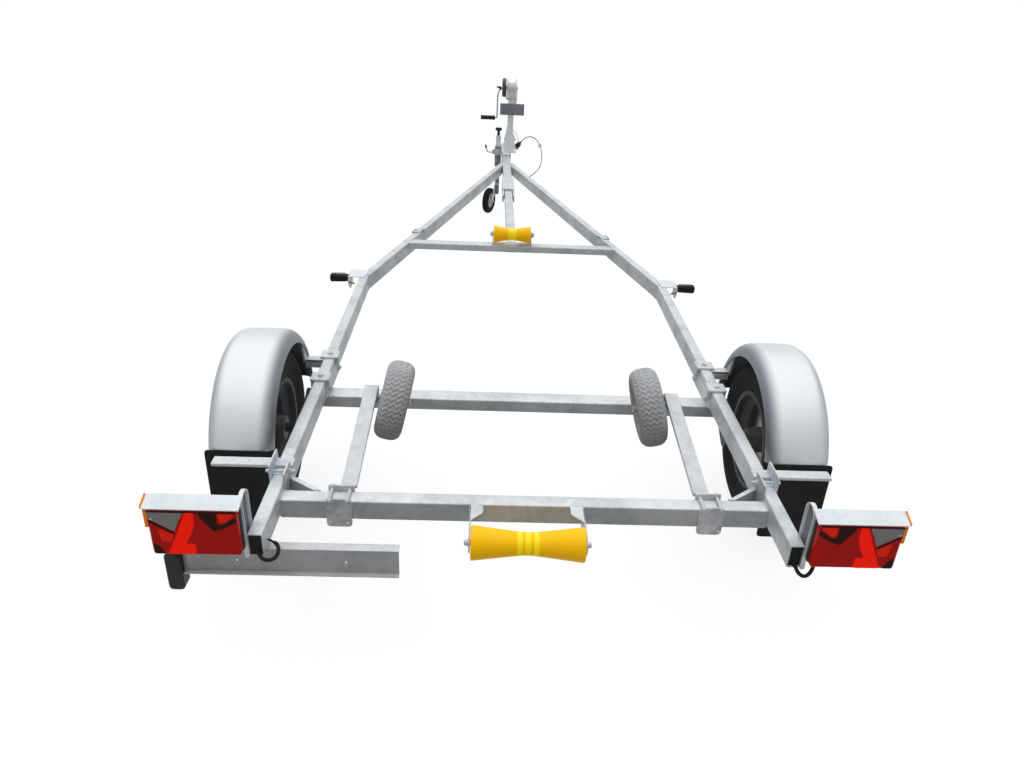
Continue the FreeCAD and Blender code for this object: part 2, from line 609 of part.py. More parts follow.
def front_stay():
    """A flat bar out from the rail, its web, and a plate up inside the mudguard's inner wall."""
    s0 = FRONT_STAY_AT
    s1 = s0 + STAY_W
    rise = math.radians(STAY_ANGLE)
    tip_r = GUARD_LIP_R + STAY_LAP
    tip_s, tip_z = GUARD_AT + tip_r * math.cos(rise), WHEEL_R + tip_r * math.sin(rise)
    x0, x1 = GUARD_INNER_X + GUARD_T, GUARD_INNER_X + GUARD_T + 8
    flat = box(RAIL_OUT, x1, s0, s1, RAIL_TOP - 6, RAIL_TOP)
    web = box(RAIL_OUT, x0, s0, s0 + 5, RAIL_TOP - 30, RAIL_TOP)
    riser = side_prism([(s0, RAIL_TOP - 8), (s1, RAIL_TOP - 8), (tip_s + 18, tip_z), (tip_s - 18, tip_z)],
                       x0, x1)
    return flat, web, riser


def rear_stay():
    """A flat bar clamped over the rail, with a strap sloping down to the mudflap's back."""
    s0 = REAR_STAY_AT
    end = GUARD_OUTER_X - STAY_SHORT
    bar = box(RAIL_IN - 10, end, s0, s0 + STAY_W, RAIL_TOP, RAIL_TOP + STAY_T)
    hanger = side_prism([(s0 + STAY_W - 10, RAIL_TOP), (s0 + STAY_W, RAIL_TOP), (FLAP_AT, HANGER_FOOT + 8),
                         (FLAP_AT, HANGER_FOOT)], end - 40, end)
    plate = box(RAIL_OUT, RAIL_OUT + 5, s0 - 54, s0 + STAY_W, RAIL_BOTTOM - 22, RAIL_TOP + 43)
    ubolt = [rod(UBOLT_R, (RAIL_IN - 24, s0 - 22, z), (RAIL_OUT + 22, s0 - 22, z))
             for z in (RAIL_TOP + UBOLT_R, RAIL_BOTTOM - UBOLT_R)]
    pair("rear_stay", fuse(bar, hanger, plate, *ubolt))


# ---- tail lamps and number-plate holder --------------------------------------------------------

def lamp_brackets():
    s0 = LAMP_BACK + HOOD_T
    s1 = s0 + POSTER_D
    radius = POSTER_D / 2
    top = HOOD_TOP + HOOD_RISE

    def slab(inset, x0, x1):
        centre = V(x0, st(s0 + radius), top - radius)
        flat = box(x0, x1, s0 + inset, s1 - inset, PLATE_TOP, top - radius)
        return fuse(flat, Part.makeCylinder(radius - inset, x1 - x0, centre, ACROSS))

    x0, x1 = RAIL_OUT, RAIL_OUT + POSTER_T
    post = slab(0, x0, x1).cut(slab(HOOD_T, x0, x1 - HOOD_T))
    out = LAMP_X1 + 8
    lip, fold, high = -HOOD_OVERHANG, HOOD_D - HOOD_OVERHANG, HOOD_TOP + HOOD_RISE
    hood = side_prism([(lip, HOOD_TOP), (fold, high), (fold, high - HOOD_T), (lip, HOOD_TOP - HOOD_T)],
                      out - HOOD_W, out)
    under = HOOD_TOP + HOOD_RISE * (LAMP_BACK - lip) / HOOD_D - 1
    back = box(x1 - HOOD_T, LAMP_X1 - 6, LAMP_BACK, LAMP_BACK + HOOD_T, LAMP_BOTTOM + 20, under)
    foot = box(x0, x1, s0, s1, PLATE_TOP, PLATE_TOP + HOOD_T)
    pair("lamp_bracket", fuse(post, hood, back, foot))
    lens = box(LAMP_X0, LAMP_X1, LAMP_BACK - LAMP_D, LAMP_BACK, LAMP_BOTTOM, LAMP_BOTTOM + LAMP_H)
    corners = [e for e in lens.Edges if abs(e.BoundBox.XLength) < 1 and abs(e.BoundBox.ZLength) < 1]
    pair("tail_lamp", lens.makeFillet(9, corners))


def plate_holder():
    x0, x1 = PLATE_RIGHT_X - PLATE_LEN, PLATE_RIGHT_X
    top = PLATE_TOP
    low = top - PLATE_H
    s, t = PLATE_AT, PLATE_T
    web = box(x0, x1, s, s + t, low, top)
    flange = box(x0, x1, s, s + PLATE_LIP, top - t, top)
    lip = box(x0, x1, s - 12, s + t, low, low + t)
    hanger = box(-RAIL_OUT + 4, -RAIL_IN - 4, s, s + PLATE_LIP, top - t, RAIL_BOTTOM)
    solid = fuse(web, flange, lip, hanger)
    holes = [rod(PLATE_HOLE_R, (PLATE_MID_X + sign * PLATE_HOLE_GAP / 2, s - 20, PLATE_HOLE_Z),
                 (PLATE_MID_X + sign * PLATE_HOLE_GAP / 2, s + 20, PLATE_HOLE_Z)) for sign in (-1, 1)]
    nodes["plate_holder"] = solid.cut(holes)
    z0 = top - 10 - BLOCK_H
    r = BLOCK_W / 2
    block = box(x0 - BLOCK_W, x0, s - 20, s - 20 + BLOCK_D, z0 + r, z0 + BLOCK_H)
    foot = rod(r, (x0 - r, s - 20, z0 + r), (x0 - r, s - 20 + BLOCK_D, z0 + r))
    nodes["plate_end_block"] = fuse(block, foot)


# ---- keel rollers ------------------------------------------------------------------------------

def roller(length, end_r, waist_r, station, z):
    """A waisted roller: two straight cones and a narrow middle band, bored for its pin."""
    h = length / 2
    bore = ROLLER_PIN_R + ROLLER_CLEAR
    outline = [(-h, bore), (-h, end_r - 3), (-h + 5, end_r), (-14, waist_r), (14, waist_r),
               (h - 5, end_r), (h, end_r - 3), (h, bore)]
    return turned(outline, V(0, st(station), z))


def roller_pin(length, station, z):
    reach = length / 2 + ROLLER_SIDE_GAP + ROLLER_PLATE_T
    pin = rod(ROLLER_PIN_R, (-reach - 16, station, z), (reach + 16, station, z))
    ends = [rod(ROLLER_PIN_R + 5, (sign * reach, station, z), (sign * (reach + 8), station, z))
            for sign in (-1, 1)]
    return [pin] + ends


def keel_rollers():
    nodes["rear_keel_roller"] = roller(REAR_ROLLER_LEN, REAR_ROLLER_R, REAR_ROLLER_WAIST_R,
                                       REAR_ROLLER_AT, REAR_ROLLER_Z)
    nodes["front_keel_roller"] = roller(FRONT_ROLLER_LEN, FRONT_ROLLER_R, FRONT_ROLLER_WAIST_R,
                                        FRONT_ROLLER_AT, FRONT_ROLLER_Z)
    top = RAIL_TOP - REAR_CROSS_DROP
    s, z, t = REAR_ROLLER_AT, REAR_ROLLER_Z, ROLLER_PLATE_T
    inner = REAR_ROLLER_LEN / 2 + ROLLER_SIDE_GAP
    parts = roller_pin(REAR_ROLLER_LEN, s, z)
    for sign in (-1, 1):
        outline = [(REAR_CROSS_AT, top), (s + 44, top), (s - 24, z + 18), (s - 30, z), (s - 22, z - 20),
                   (s, z - 30), (s + 40, z - 34), (REAR_CROSS_AT, z - 18)]
        plate = side_prism(outline, sign * inner, sign * (inner + t))
        reach = inner + t - ARM_FLANGE
        flange = plan_prism([(sign * (inner + t), REAR_CROSS_AT), (sign * reach, REAR_CROSS_AT),
                             (sign * reach, s + 76), (sign * (inner + t), s + 46)], top - t, top)
        parts += [plate, flange]
    nodes["rear_roller_bracket"] = fuse(*parts)

    s, z = FRONT_ROLLER_AT, FRONT_ROLLER_Z
    inner = FRONT_ROLLER_LEN / 2 + ROLLER_SIDE_GAP
    parts = roller_pin(FRONT_ROLLER_LEN, s, z)
    for sign in (-1, 1):
        outline = [(s - 28, RAIL_TOP), (s + 28, RAIL_TOP), (s + 18, z + 16), (s - 18, z + 16)]
        parts.append(side_prism(outline, sign * inner, sign * (inner + t)))
    parts.append(box(-inner - t, inner + t, s - 28, s + 28, RAIL_TOP, RAIL_TOP + 4))
    nodes["front_roller_bracket"] = fuse(*parts)


# ---- support wheels ----------------------------------------------------------------------------

def support_wheels():
    lean = math.radians(SUPPORT_LEAN)
    axis = V(math.cos(lean), 0, math.sin(lean))
    up = V(-math.sin(lean), 0, math.cos(lean))
    centre = V(SUPPORT_X, st(SUPPORT_AT), SUPPORT_Z)
    h, rim = SUPPORT_W / 2, SUPPORT_RIM_R
    tyre = turned([(-h + 12, rim), (-h + 2, rim + 14), (-h, rim + 34), (-h + 8, SUPPORT_R - 10),
                   (-h + 22, SUPPORT_R - 1), (-8, SUPPORT_R), (8, SUPPORT_R), (h - 22, SUPPORT_R - 1),
                   (h - 8, SUPPORT_R - 10), (h, rim + 34), (h - 2, rim + 14), (h - 12, rim)], centre,
                  axis, start=up)
    pair("support_tyre", tyre)
    clear = SUPPORT_STUB_R + 0.5
    hub = turned([(-h + 6, clear), (-h + 6, 20), (-6, 22), (-6, rim - 8), (-h + 12, rim - 4),
                  (-h + 12, rim), (h - 12, rim), (h - 12, rim - 4), (6, rim - 8), (6, 22), (h - 6, 20),
                  (h - 6, clear)], centre, axis, start=up)
    pair("support_rim", hub)

    low = RAIL_TOP - REAR_CROSS_DROP - REAR_CROSS_H
    half, t = SUPPORT_PLATE_W / 2, SUPPORT_PLATE_T
    x = SUPPORT_PLATE_X
    s0, s1 = REAR_CROSS_AT, REAR_CROSS_AT + REAR_CROSS_DEPTH
    rear = box(x - half + 4, x + half - 4, s0 - t, s0, low - 22, RAIL_TOP - 10)
    corners = [e for e in rear.Edges if e.BoundBox.YLength > t - 0.1 and e.CenterOfMass.z < low]
    rear = rear.makeFillet(12, corners)
    front = box(x - half, x + half, s1, s1 + t, low - 18, RAIL_TOP - 2)
    parts = [rear, front]
    for dx in (-25, 25):
        for z in (RAIL_TOP - REAR_CROSS_DROP + 6.5, low - 7.5):
            parts.append(rod(5, (x + dx, s0 - t - 7, z), (x + dx, s1 + t + 7, z)))
    x0, x1 = SUPPORT_ARM_X - SUPPORT_ARM_W / 2, SUPPORT_ARM_X + SUPPORT_ARM_W / 2
    near, far = s1 + t, SUPPORT_AT + 36
    z0, z1 = RAIL_TOP - 4, SUPPORT_Z + 40
    parts.append(side_prism([(near, z0), (far - 6, z1), (far, z1 - 5), (far, z1 - SUPPORT_ARM_T),
                             (near, z0 - SUPPORT_ARM_T)], x0, x1))
    away = (x0 - SUPPORT_X) / math.cos(lean)
    hub_z = SUPPORT_Z + away * math.sin(lean)
    lug = side_prism([(SUPPORT_AT - 22, hub_z + 16), (SUPPORT_AT - 18, hub_z - 18),
                      (SUPPORT_AT + 18, hub_z - 18), (far, z1 - 6)], x0, x1)
    stub = Part.makeCylinder(SUPPORT_STUB_R, away + h - 2 + 16, centre - axis * (h - 2), axis)
    parts += [lug, stub]
    pair("support_arm", fuse(*parts))


# ---- side markers ------------------------------------------------------------------------------

def side_markers():
    s0, s1 = MARKER_AT - MARKER_PLATE_LEN / 2, MARKER_AT + MARKER_PLATE_LEN / 2
    t = MARKER_PLATE_T
    edge = RAIL_OUT + MARKER_OUT
    plate = plan_prism([(RAIL_OUT - 24, s0), (edge, s0), (edge, s1), (RAIL_OUT - 36, s1)], RAIL_TOP,
                       RAIL_TOP + t)
    flap = box(edge - t, edge, s0, s1 - 40, RAIL_TOP - 52, RAIL_TOP + t)
    pair("marker_bracket", fuse(plate, flap))
    z = RAIL_TOP - 14
    body = box(edge, edge + MARKER_W, MARKER_AT - 36, MARKER_AT - 36 + MARKER_D, z - MARKER_H / 2,
               z + MARKER_H / 2)
    pair("side_marker", body.makeFillet(5, body.Edges))


# ---- winch post and winch ----------------------------------------------------------------------

def winch_post():
    half = POST_W / 2
    s0, s1 = POST_AT - half, POST_AT + half
    t, w = CHEEK_T, TUBE_WALL
    tube = box(-half, half, s0, s1, FOOT_Z, POST_TOP).cut(box(-half + w, half - w, s0 + w, s1 - w,
                                                              FOOT_Z + FOOT_T, POST_TOP))
    foot = box(FOOT_LEFT, FOOT_RIGHT, POST_AT - FOOT_D / 2, POST_AT + FOOT_D / 2, FOOT_Z, FOOT_Z + FOOT_T)
    out = DRAWBAR_W / 2
    legs = [box(x, x + t, POST_AT - FOOT_D / 2, POST_AT + FOOT_D / 2, DRAWBAR_TOP - DRAWBAR_W, FOOT_Z)
            for x in (-out - t, out)]
    cheeks = [side_prism([(s0 - 16, FOOT_Z + FOOT_T), (s1 + 16, FOOT_Z + FOOT_T), (s1 + 4, BOX_TOP),
                          (s0 - 4, BOX_TOP)], x, x + t) for x in (-BOX_W / 2, BOX_W / 2 - t)]
    bolts = [rod(BOLT_R, (-BOX_W / 2 - 8, POST_AT, z), (BOX_W / 2 + 8, POST_AT, z))
             for z in (FOOT_Z + 34, BOX_TOP - 24)]
    back = side_prism([(s0 - 16, FOOT_Z + FOOT_T), (s0 - 16 + t, FOOT_Z + FOOT_T), (s0 - 4 + t, BOX_TOP),
                       (s0 - 4, BOX_TOP)], -BOX_W / 2, BOX_W / 2)
    upper = fuse(tube, back, *cheeks, *bolts)
    upper.translate(V(POST_X, 0, 0))
    nodes["winch_post"] = fuse(upper, foot, *legs)

    pad = box(STOP_LEFT, STOP_RIGHT, s0 - STOP_T, s0, STOP_BOTTOM, STOP_BOTTOM + STOP_H)
    nodes["bow_stop"] = pad.makeFillet(4, pad.Edges)


def winch():
    p, b = WINCH_PLATE_T, WINCH_BASE_T
    s = POST_AT
    base_z = POST_TOP
    right = DRUM_RIGHT + WINCH_GAP
    left = DRUM_LEFT - WINCH_GAP
    crank_s, crank_z = s + CRANK_AHEAD, DRUM_Z - CRANK_DROP
    side = [(s - 36, base_z), (s + 84, base_z), (crank_s + 18, crank_z + 10), (crank_s - 6, crank_z + 20),
            (s + 14, DRUM_Z + 16), (s - 14, DRUM_Z + 16), (s - 22, DRUM_Z)]
    plates = [side_prism(side, left - p, left), side_prism(side, right, right + p)]
    base = box(left - p, right + p, s - 36, s + 84, base_z, base_z + b)
    bores = [rod(DRUM_AXLE_R + 0.05, (left - 20, s, DRUM_Z), (right + 20, s, DRUM_Z)),
             rod(CRANK_SHAFT_R + 0.05, (left - 20, crank_s, crank_z), (left, crank_s, crank_z))]
    nodes["winch_frame"] = fuse(*plates, base).cut(bores)

    f = DRUM_FLANGE_T
    outline = [(left - p - 3, 0), (left - p - 3, DRUM_AXLE_R), (DRUM_LEFT, DRUM_AXLE_R),
               (DRUM_LEFT, DRUM_FLANGE_R), (DRUM_LEFT + f, DRUM_FLANGE_R), (DRUM_LEFT + f, DRUM_CORE_R),
               (DRUM_RIGHT - f, DRUM_CORE_R), (DRUM_RIGHT - f, DRUM_FLANGE_R),
               (DRUM_RIGHT, DRUM_FLANGE_R), (DRUM_RIGHT, DRUM_AXLE_R), (right + p + 3, DRUM_AXLE_R),
               (right + p + 3, 0)]
    gear_x0 = left - p - 3 - GEAR_T
    gear = rod(GEAR_R, (gear_x0, s, DRUM_Z), (gear_x0 + GEAR_T, s, DRUM_Z))
    drum = fuse(turned(outline, V(0, st(s), DRUM_Z)), gear)
    nodes["winch_drum"] = drum

    cover_x1 = left - p
    cover_x0 = cover_x1 - COVER_T
    shell = rod(COVER_R, (cover_x0, s, DRUM_Z), (cover_x1, s, DRUM_Z))
    inside = rod(COVER_R - 3, (cover_x0 + 3, s, DRUM_Z), (cover_x1, s, DRUM_Z))
    hole = rod(CRANK_SHAFT_R + 5, (cover_x0 - 5, crank_s, crank_z), (cover_x1, crank_s, crank_z))
    nodes["gear_cover"] = shell.cut([inside, hole])

    end = cover_x0 - 14
    elbow, low = (end - 18, crank_s, crank_z - 50), (end - 18, crank_s, crank_z - CRANK_R)
    tip = (end - 18 - 14 - GRIP_LEN, crank_s, crank_z - CRANK_R)
    pinion = rod(PINION_R, (gear_x0, crank_s, crank_z), (gear_x0 + GEAR_T, crank_s, crank_z))
    shaft = rod(CRANK_SHAFT_R, (left, crank_s, crank_z), (end, crank_s, crank_z))
    boss = rod(CRANK_SHAFT_R + 6, (end + 8, crank_s, crank_z), (end - 8, crank_s, crank_z))
    balls = [Part.makeSphere(CRANK_ROD_R, V(x, st(ss), z)) for x, ss, z in (elbow, low)]
    grip = rod(GRIP_R, (low[0] - 14, crank_s, low[2]), tip)
    nodes["winch_crank"] = fuse(shaft, boss, pinion, grip, *balls,
                                rod(CRANK_ROD_R, (end, crank_s, crank_z), elbow),
                                rod(CRANK_ROD_R, elbow, low), rod(CRANK_ROD_R, low, tip))


# ---- jockey wheel ------------------------------------------------------------------------------

def jockey():
    x, s = JOCKEY_X, JOCKEY_AT
    r = JOCKEY_SLEEVE_R
    ring_z = FOOT_Z + FOOT_T / 2 - CLAMP_RING_H / 2
    bore = rod(r, (x, s, JOCKEY_SLEEVE_BOTTOM), (x, s, JOCKEY_HEAD_TOP))
    ring = rod(CLAMP_RING_R, (x, s, ring_z), (x, s, ring_z + CLAMP_RING_H))
    link = box(x, FOOT_LEFT, s - 12, s + 12, FOOT_Z, FOOT_Z + FOOT_T)
    ear = box(x - CLAMP_RING_R - 16, x - r, s - 7, s + 7, ring_z + 6, ring_z + CLAMP_RING_H - 6)
    lever_z = ring_z + CLAMP_RING_H / 2
    screw = rod(5, (x - r - 6, s - 30, lever_z), (x - r - 6, s + 14, lever_z))
    bar = rod(5, (x - r - 6, s - 30, lever_z), (x - r - 62, s - 34, lever_z + 4))
    rise = rod(5, (x - r - 62, s - 34, lever_z + 4), (x - r - 74, s - 36, lever_z + 52))
    balls = [Part.makeSphere(5, V(px, st(ps), pz)) for px, ps, pz in
             ((x - r - 6, s - 30, lever_z), (x - r - 62, s - 34, lever_z + 4))]
    nodes["jockey_clamp"] = fuse(ring, link, ear, screw, bar, rise, *balls).cut(bore)

    slip, wide = JOCKEY_LEG_R + JOCKEY_CLEAR, r - JOCKEY_WALL
    low, top, bore_top = JOCKEY_SLEEVE_BOTTOM, JOCKEY_SLEEVE_TOP, JOCKEY_BORE_TOP
    sleeve = turned([(low, slip), (low, r), (top + 10, r), (top + 24, slip + 4), (bore_top + 4, slip + 4),
                     (bore_top + 12, 9), (JOCKEY_HEAD_TOP - 38, 9), (JOCKEY_HEAD_TOP - 26, 26),
                     (JOCKEY_HEAD_TOP - 18, 28), (JOCKEY_HEAD_TOP, 26), (JOCKEY_HEAD_TOP, 0),
                     (bore_top, 0), (bore_top, slip), (top - 10, slip), (top - 10, wide),
                     (low + 20, wide), (low + 20, slip)], V(x, st(s), 0), UP, start=V(1, 0, 0))
    nodes["jockey_sleeve"] = sleeve
    crown = JOCKEY_CROWN_Z
    nodes["jockey_leg"] = rod(JOCKEY_LEG_R, (x, s, crown + JOCKEY_CROWN_T + JOCKEY_SEAT_GAP),
                              (x, s, JOCKEY_LEG_TOP))

    out = -JOCKEY_SIDE
    w = JOCKEY_WHEEL_W / 2
    px = out + w + 4
    hub = (s - JOCKEY_TRAIL, JOCKEY_WHEEL_R)
    plate = side_prism([(s - 22, crown), (s + 18, crown), (s + 12, crown - 24), (hub[0] + 17, hub[1] + 4),
                        (hub[0] + 10, hub[1] - 14), (hub[0] - 10, hub[1] - 14), (hub[0] - 17, hub[1] + 4)],
                       px, px + JOCKEY_PLATE_T)
    disc = rod(26, (0, s, crown), (0, s, crown + JOCKEY_CROWN_T))
    bridge = box(px, 6, s - 22, s + 18, crown, crown + JOCKEY_CROWN_T)
    stub = rod(8, (px + JOCKEY_PLATE_T + 8, *hub), (out - w - 2, *hub))
    fork = fuse(plate, disc, bridge, stub)
    centre = V(out, st(hub[0]), hub[1])
    rim, edge = JOCKEY_RIM_R, JOCKEY_WHEEL_R
    wheel = turned([(-w, 8.5), (-w, 18), (-w + 12, 20), (-w + 12, rim - 8), (-w + 2, rim), (-w, rim + 12),
                    (-w + 4, edge - 10), (-w + 14, edge), (w - 14, edge), (w - 4, edge - 10),
                    (w, rim + 12), (w - 2, rim), (w - 12, rim - 8), (w - 12, 20), (w, 18), (w, 8.5)],
                   centre)
    for name, shape in (("jockey_fork", fork), ("jockey_wheel", wheel)):
        shape.rotate(V(0, st(s), 0), UP, JOCKEY_TURN)
        shape.translate(V(x, 0, 0))
        nodes[name] = shape


# ---- light cable: straight runs joined by tangent arcs -----------------------------------------

# Each point is X, a distance ahead of where the cable rests on the leg, and Z.
CABLE_ROUTE = [(112, 678, 553), (132, 677, 576), (160, 666, 596), (196, 630, 604), (227, 580, 596),
               (250, 518, 576), (263, 444, 545), (266, 364, 509), (258, 282, 477), (240, 204, 457),
               (216, 132, 446), (189, 64, 440), (162, 0, 437)]
CABLE_RUN = 658.0           # from that place to the winch post
CABLE_REST = 287.9          # that place, behind the point where the legs meet the drawbar
# Each point is the distance out from a rail's outer face, the station and Z.
RIGHT_LAMP_ROUTE = [(-21, 30, 398), (-21, 13, 396), (-18, -3, 388), (-11, -12, 374), (2, -13, 362),
                    (18, -7, 356), (32, 3, 360), (41, 13, 372), (45, 19, 388), (46, 16, 405),
                    (46, 0, 419)]
LEFT_LAMP_ROUTE = [(-21, 30, 398), (-21, 13, 396), (-26, -3, 391), (-37, -15, 385), (-53, -18, 381),
                   (-68, -9, 381), (-74, 8, 386), (-71, 25, 393), (-59, 36, 399), (-41.1, 40, 404)]


def cord_tube(route, radius):
    """A round cord through (x, station, z) points: each corner is an arc of 0.45 of its shorter run."""
    points = [V(x, st(s), z) for x, s, z in route]
    edges, here = [], points[0]
    radii = []
    for a, b, c in zip(points, points[1:], points[2:]):
        before, after = b - a, c - b
        turn = before.getAngle(after)
        cut = 0.45 * min(before.Length, after.Length)
        bend = cut / math.tan(turn / 2)
        radii.append(round(bend))
        u, v = before / before.Length, after / after.Length
        start, end = b - u * cut, b + v * cut
        towards = (v - u) / (v - u).Length
        centre = b + towards * (bend / math.cos(turn / 2))
        middle = centre - towards * bend
        edges.append(Part.LineSegment(here, start).toShape())
        edges.append(Part.Arc(start, middle, end).toShape())
        here = end
    edges.append(Part.LineSegment(here, points[-1]).toShape())
    path = Part.Wire(edges)
    first = points[1] - points[0]
    ring = Part.Wire(Part.makeCircle(radius, points[0], first))
    tube = path.makePipeShell([ring], True, False)
    ratio = tube.Volume / (math.pi * radius ** 2 * path.Length)
    print("cord length", round(path.Length), "radii", radii, "volume ratio", round(ratio, 4))
    return tube


def cable_and_plug():
    rest = APEX_AT - CABLE_REST
    stretch = (POST_AT - rest) / CABLE_RUN
    route = [(x, rest + ahead * stretch, z) for x, ahead, z in CABLE_ROUTE]
    nodes["light_cable"] = cord_tube(route, CABLE_R)
    tip, ahead = (V(x, st(s), z) for x, s, z in route[:2])
    axis = (tip - ahead) / (tip - ahead).Length
    side = axis.cross(V(0, 1, 0))
    side = side / side.Length
    nodes["cable_plug"] = turned([(0, 0), (0, 7), (14, 9), (18, PLUG_R), (52, PLUG_R), (52, 0)], tip,
                                 axis, start=side)
    socket = turned([(52.0, 0), (52.0, PLUG_R + 2), (66, PLUG_R + 2), (66, 0)], tip, axis, start=side)
    nodes["winch_post"] = fuse(nodes["winch_post"], socket)
    right = [(RAIL_OUT + out, s, z) for out, s, z in RIGHT_LAMP_ROUTE]
    left = [(-RAIL_OUT - out, s, z) for out, s, z in LEFT_LAMP_ROUTE]
    nodes["lamp_cable_right"] = cord_tube(right, LAMP_CABLE_R)
    nodes["lamp_cable_left"] = cord_tube(left, LAMP_CABLE_R)


frame_tubes()
cross_members()
drawbar()
coupling()
axle()
road_wheels()
mudguards()
rear_stay()
stays = [nodes["rear_stay_left"], nodes["rear_stay_right"]]
nodes["rear_cross_member"] = nodes["rear_cross_member"].cut(stays)
for side in ("_left", "_right"):
    trimmed = nodes["axle_bracket" + side].cut(nodes["mudguard" + side])
    nodes["axle_bracket" + side] = max(trimmed.Solids, key=lambda solid: solid.Volume)
lamp_brackets()
plate_holder()
keel_rollers()
support_wheels()
side_markers()
winch_post()
winch()
for name in ("bow_stop", "winch_frame", "winch_drum", "gear_cover", "winch_crank"):
    nodes[name].translate(V(POST_X, 0, 0))
jockey()
cable_and_plug()

os.makedirs("parts", exist_ok=True)
for name, shape in nodes.items():
    shape.exportStep("parts/" + name + ".step")
    print(name, "solids", len(shape.Solids), "valid", shape.isValid(), "volume", round(shape.Volume))
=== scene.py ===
"""Looks of a single-axle boat trailer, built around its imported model.

Metres. X runs to the trailer's right, Y forwards along the drawbar, Z up from the floor. A right-hand
shape is drawn first, and its mirror image is the left-hand one.
"""
import math

import bmesh
import bpy
import numpy as np
from mathutils import Matrix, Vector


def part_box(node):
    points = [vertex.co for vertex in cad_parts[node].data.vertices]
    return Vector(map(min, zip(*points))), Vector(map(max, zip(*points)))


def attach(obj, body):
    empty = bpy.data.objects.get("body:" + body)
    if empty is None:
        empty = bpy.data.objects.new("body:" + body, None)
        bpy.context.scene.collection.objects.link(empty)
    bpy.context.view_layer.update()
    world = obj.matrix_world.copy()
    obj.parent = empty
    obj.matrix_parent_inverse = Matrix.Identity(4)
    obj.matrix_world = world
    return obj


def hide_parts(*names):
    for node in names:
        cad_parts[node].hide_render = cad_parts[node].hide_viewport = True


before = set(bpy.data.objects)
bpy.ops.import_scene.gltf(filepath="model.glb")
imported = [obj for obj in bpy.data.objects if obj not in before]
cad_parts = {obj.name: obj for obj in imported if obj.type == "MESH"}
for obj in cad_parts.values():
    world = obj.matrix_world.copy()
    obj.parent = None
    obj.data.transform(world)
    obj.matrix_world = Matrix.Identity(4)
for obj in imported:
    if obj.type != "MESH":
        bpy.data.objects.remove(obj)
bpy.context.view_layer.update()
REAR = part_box("side_rail_left")[0].y
BODY = "trailer_frame"


# ---- camera, light and floor ----

EYE = (-0.1332, REAR - 1.6508, 1.7655)
PITCH, YAW, ROLL = 0.479, 0.041, 0.0477     # down, to the right, about the line of sight
SENSOR = 36.0
FOCAL = 798.06 / 1024 * SENSOR
WORLD_LIGHT, FLOOR_TONE, FLOOR_GLOW, FLOOR_REACH = 0.09, 0.22, 0.85, 60.0
SUNS = [("overhead", 2.25, 1.7, (-0.05, 0.2, 1.0)), ("behind", 0.22, 1.2, (-0.2, -1.0, 0.8))]


def placement(x_axis, y_axis, z_axis, at):
    columns = np.column_stack([x_axis, y_axis, z_axis, at])
    return Matrix(np.vstack([columns, [0, 0, 0, 1]]).tolist())


def make_camera():
    """Right = cos(roll) r + sin(roll) u and up = cos(roll) u - sin(roll) r, where r and u belong to
    the level camera that looks along the yawed and pitched direction f."""
    f = np.array([math.sin(YAW) * math.cos(PITCH), math.cos(YAW) * math.cos(PITCH), -math.sin(PITCH)])
    r = np.array([math.cos(YAW), -math.sin(YAW), 0.0])
    u = np.cross(r, f)
    right = math.cos(ROLL) * r + math.sin(ROLL) * u
    up = math.cos(ROLL) * u - math.sin(ROLL) * r
    data = bpy.data.cameras.new("camera")
    data.sensor_width, data.lens = SENSOR, FOCAL
    camera = bpy.data.objects.new("camera", data)
    bpy.context.scene.collection.objects.link(camera)
    camera.matrix_world = placement(right, up, -f, EYE)
    bpy.context.scene.camera = camera


# ---- shapes: arrays of points with their faces ----

def unit(v):
    v = np.asarray(v, float)
    return v / np.linalg.norm(v)


def across(axis):
    """Two unit vectors at right angles to an axis."""
    axis = unit(axis)
    helper = np.array([0.0, 0.0, 1.0]) if abs(axis[2]) < 0.9 else np.array([0.0, 1.0, 0.0])
    first = unit(np.cross(helper, axis))
    return first, np.cross(axis, first)


def surface(points, close_u=False, close_v=True, caps=False):
    """Four-sided faces over a grid of points[u, v]; caps closes the first and last rows."""
    nu, nv = points.shape[:2]
    index = np.arange(nu * nv).reshape(nu, nv)
    if close_u:
        index = np.vstack([index, index[:1]])
    if close_v:
        index = np.hstack([index, index[:, :1]])
    a, b, c, d = index[:-1, :-1], index[:-1, 1:], index[1:, 1:], index[1:, :-1]
    faces = np.stack([a, b, c, d], -1).reshape(-1, 4).tolist()
    if caps:
        last = (nu - 1) * nv
        faces += [list(range(nv))[::-1], list(range(last, last + nv))]
    return points.reshape(-1, 3), faces


def merged(shapes):
    """Several shapes as one."""
    points, faces, count = [], [], 0
    for p, f in shapes:
        points.append(p)
        faces += [[i + count for i in face] for face in f]
        count += len(p)
    return np.concatenate(points), faces


def mirrored(shape):
    return shape[0] * np.array([-1.0, 1.0, 1.0]), shape[1]


def with_mirror(shapes):
    one = merged(shapes)
    return [one, mirrored(one)]


def turned_about(shape, centre, axis, angle):
    """A shape turned by an angle about an axis through a point, by Rodrigues' formula."""
    k, c = unit(axis), np.asarray(centre, float)
    v = shape[0] - c
    turned = v * math.cos(angle) + np.cross(k, v) * math.sin(angle) \
        + np.outer(v @ k, k) * (1 - math.cos(angle))
    return turned + c, shape[1]


def around(steps):
    """The angles of a whole turn, in equal steps."""
    return np.linspace(0, 2 * math.pi, steps, endpoint=False)


def circle(t, e1, e2):
    """Points cos t e1 + sin t e2."""
    return np.outer(np.cos(t), e1) + np.outer(np.sin(t), e2)


def spun(along, radius, steps, centre, axis, e1, e2):
    """point(i, t) = centre + along_i axis + radius_it (cos t e1 + sin t e2)."""
    ring = circle(around(steps), e1, e2)
    return np.asarray(centre, float) + along[..., None] * axis + radius[..., None] * ring


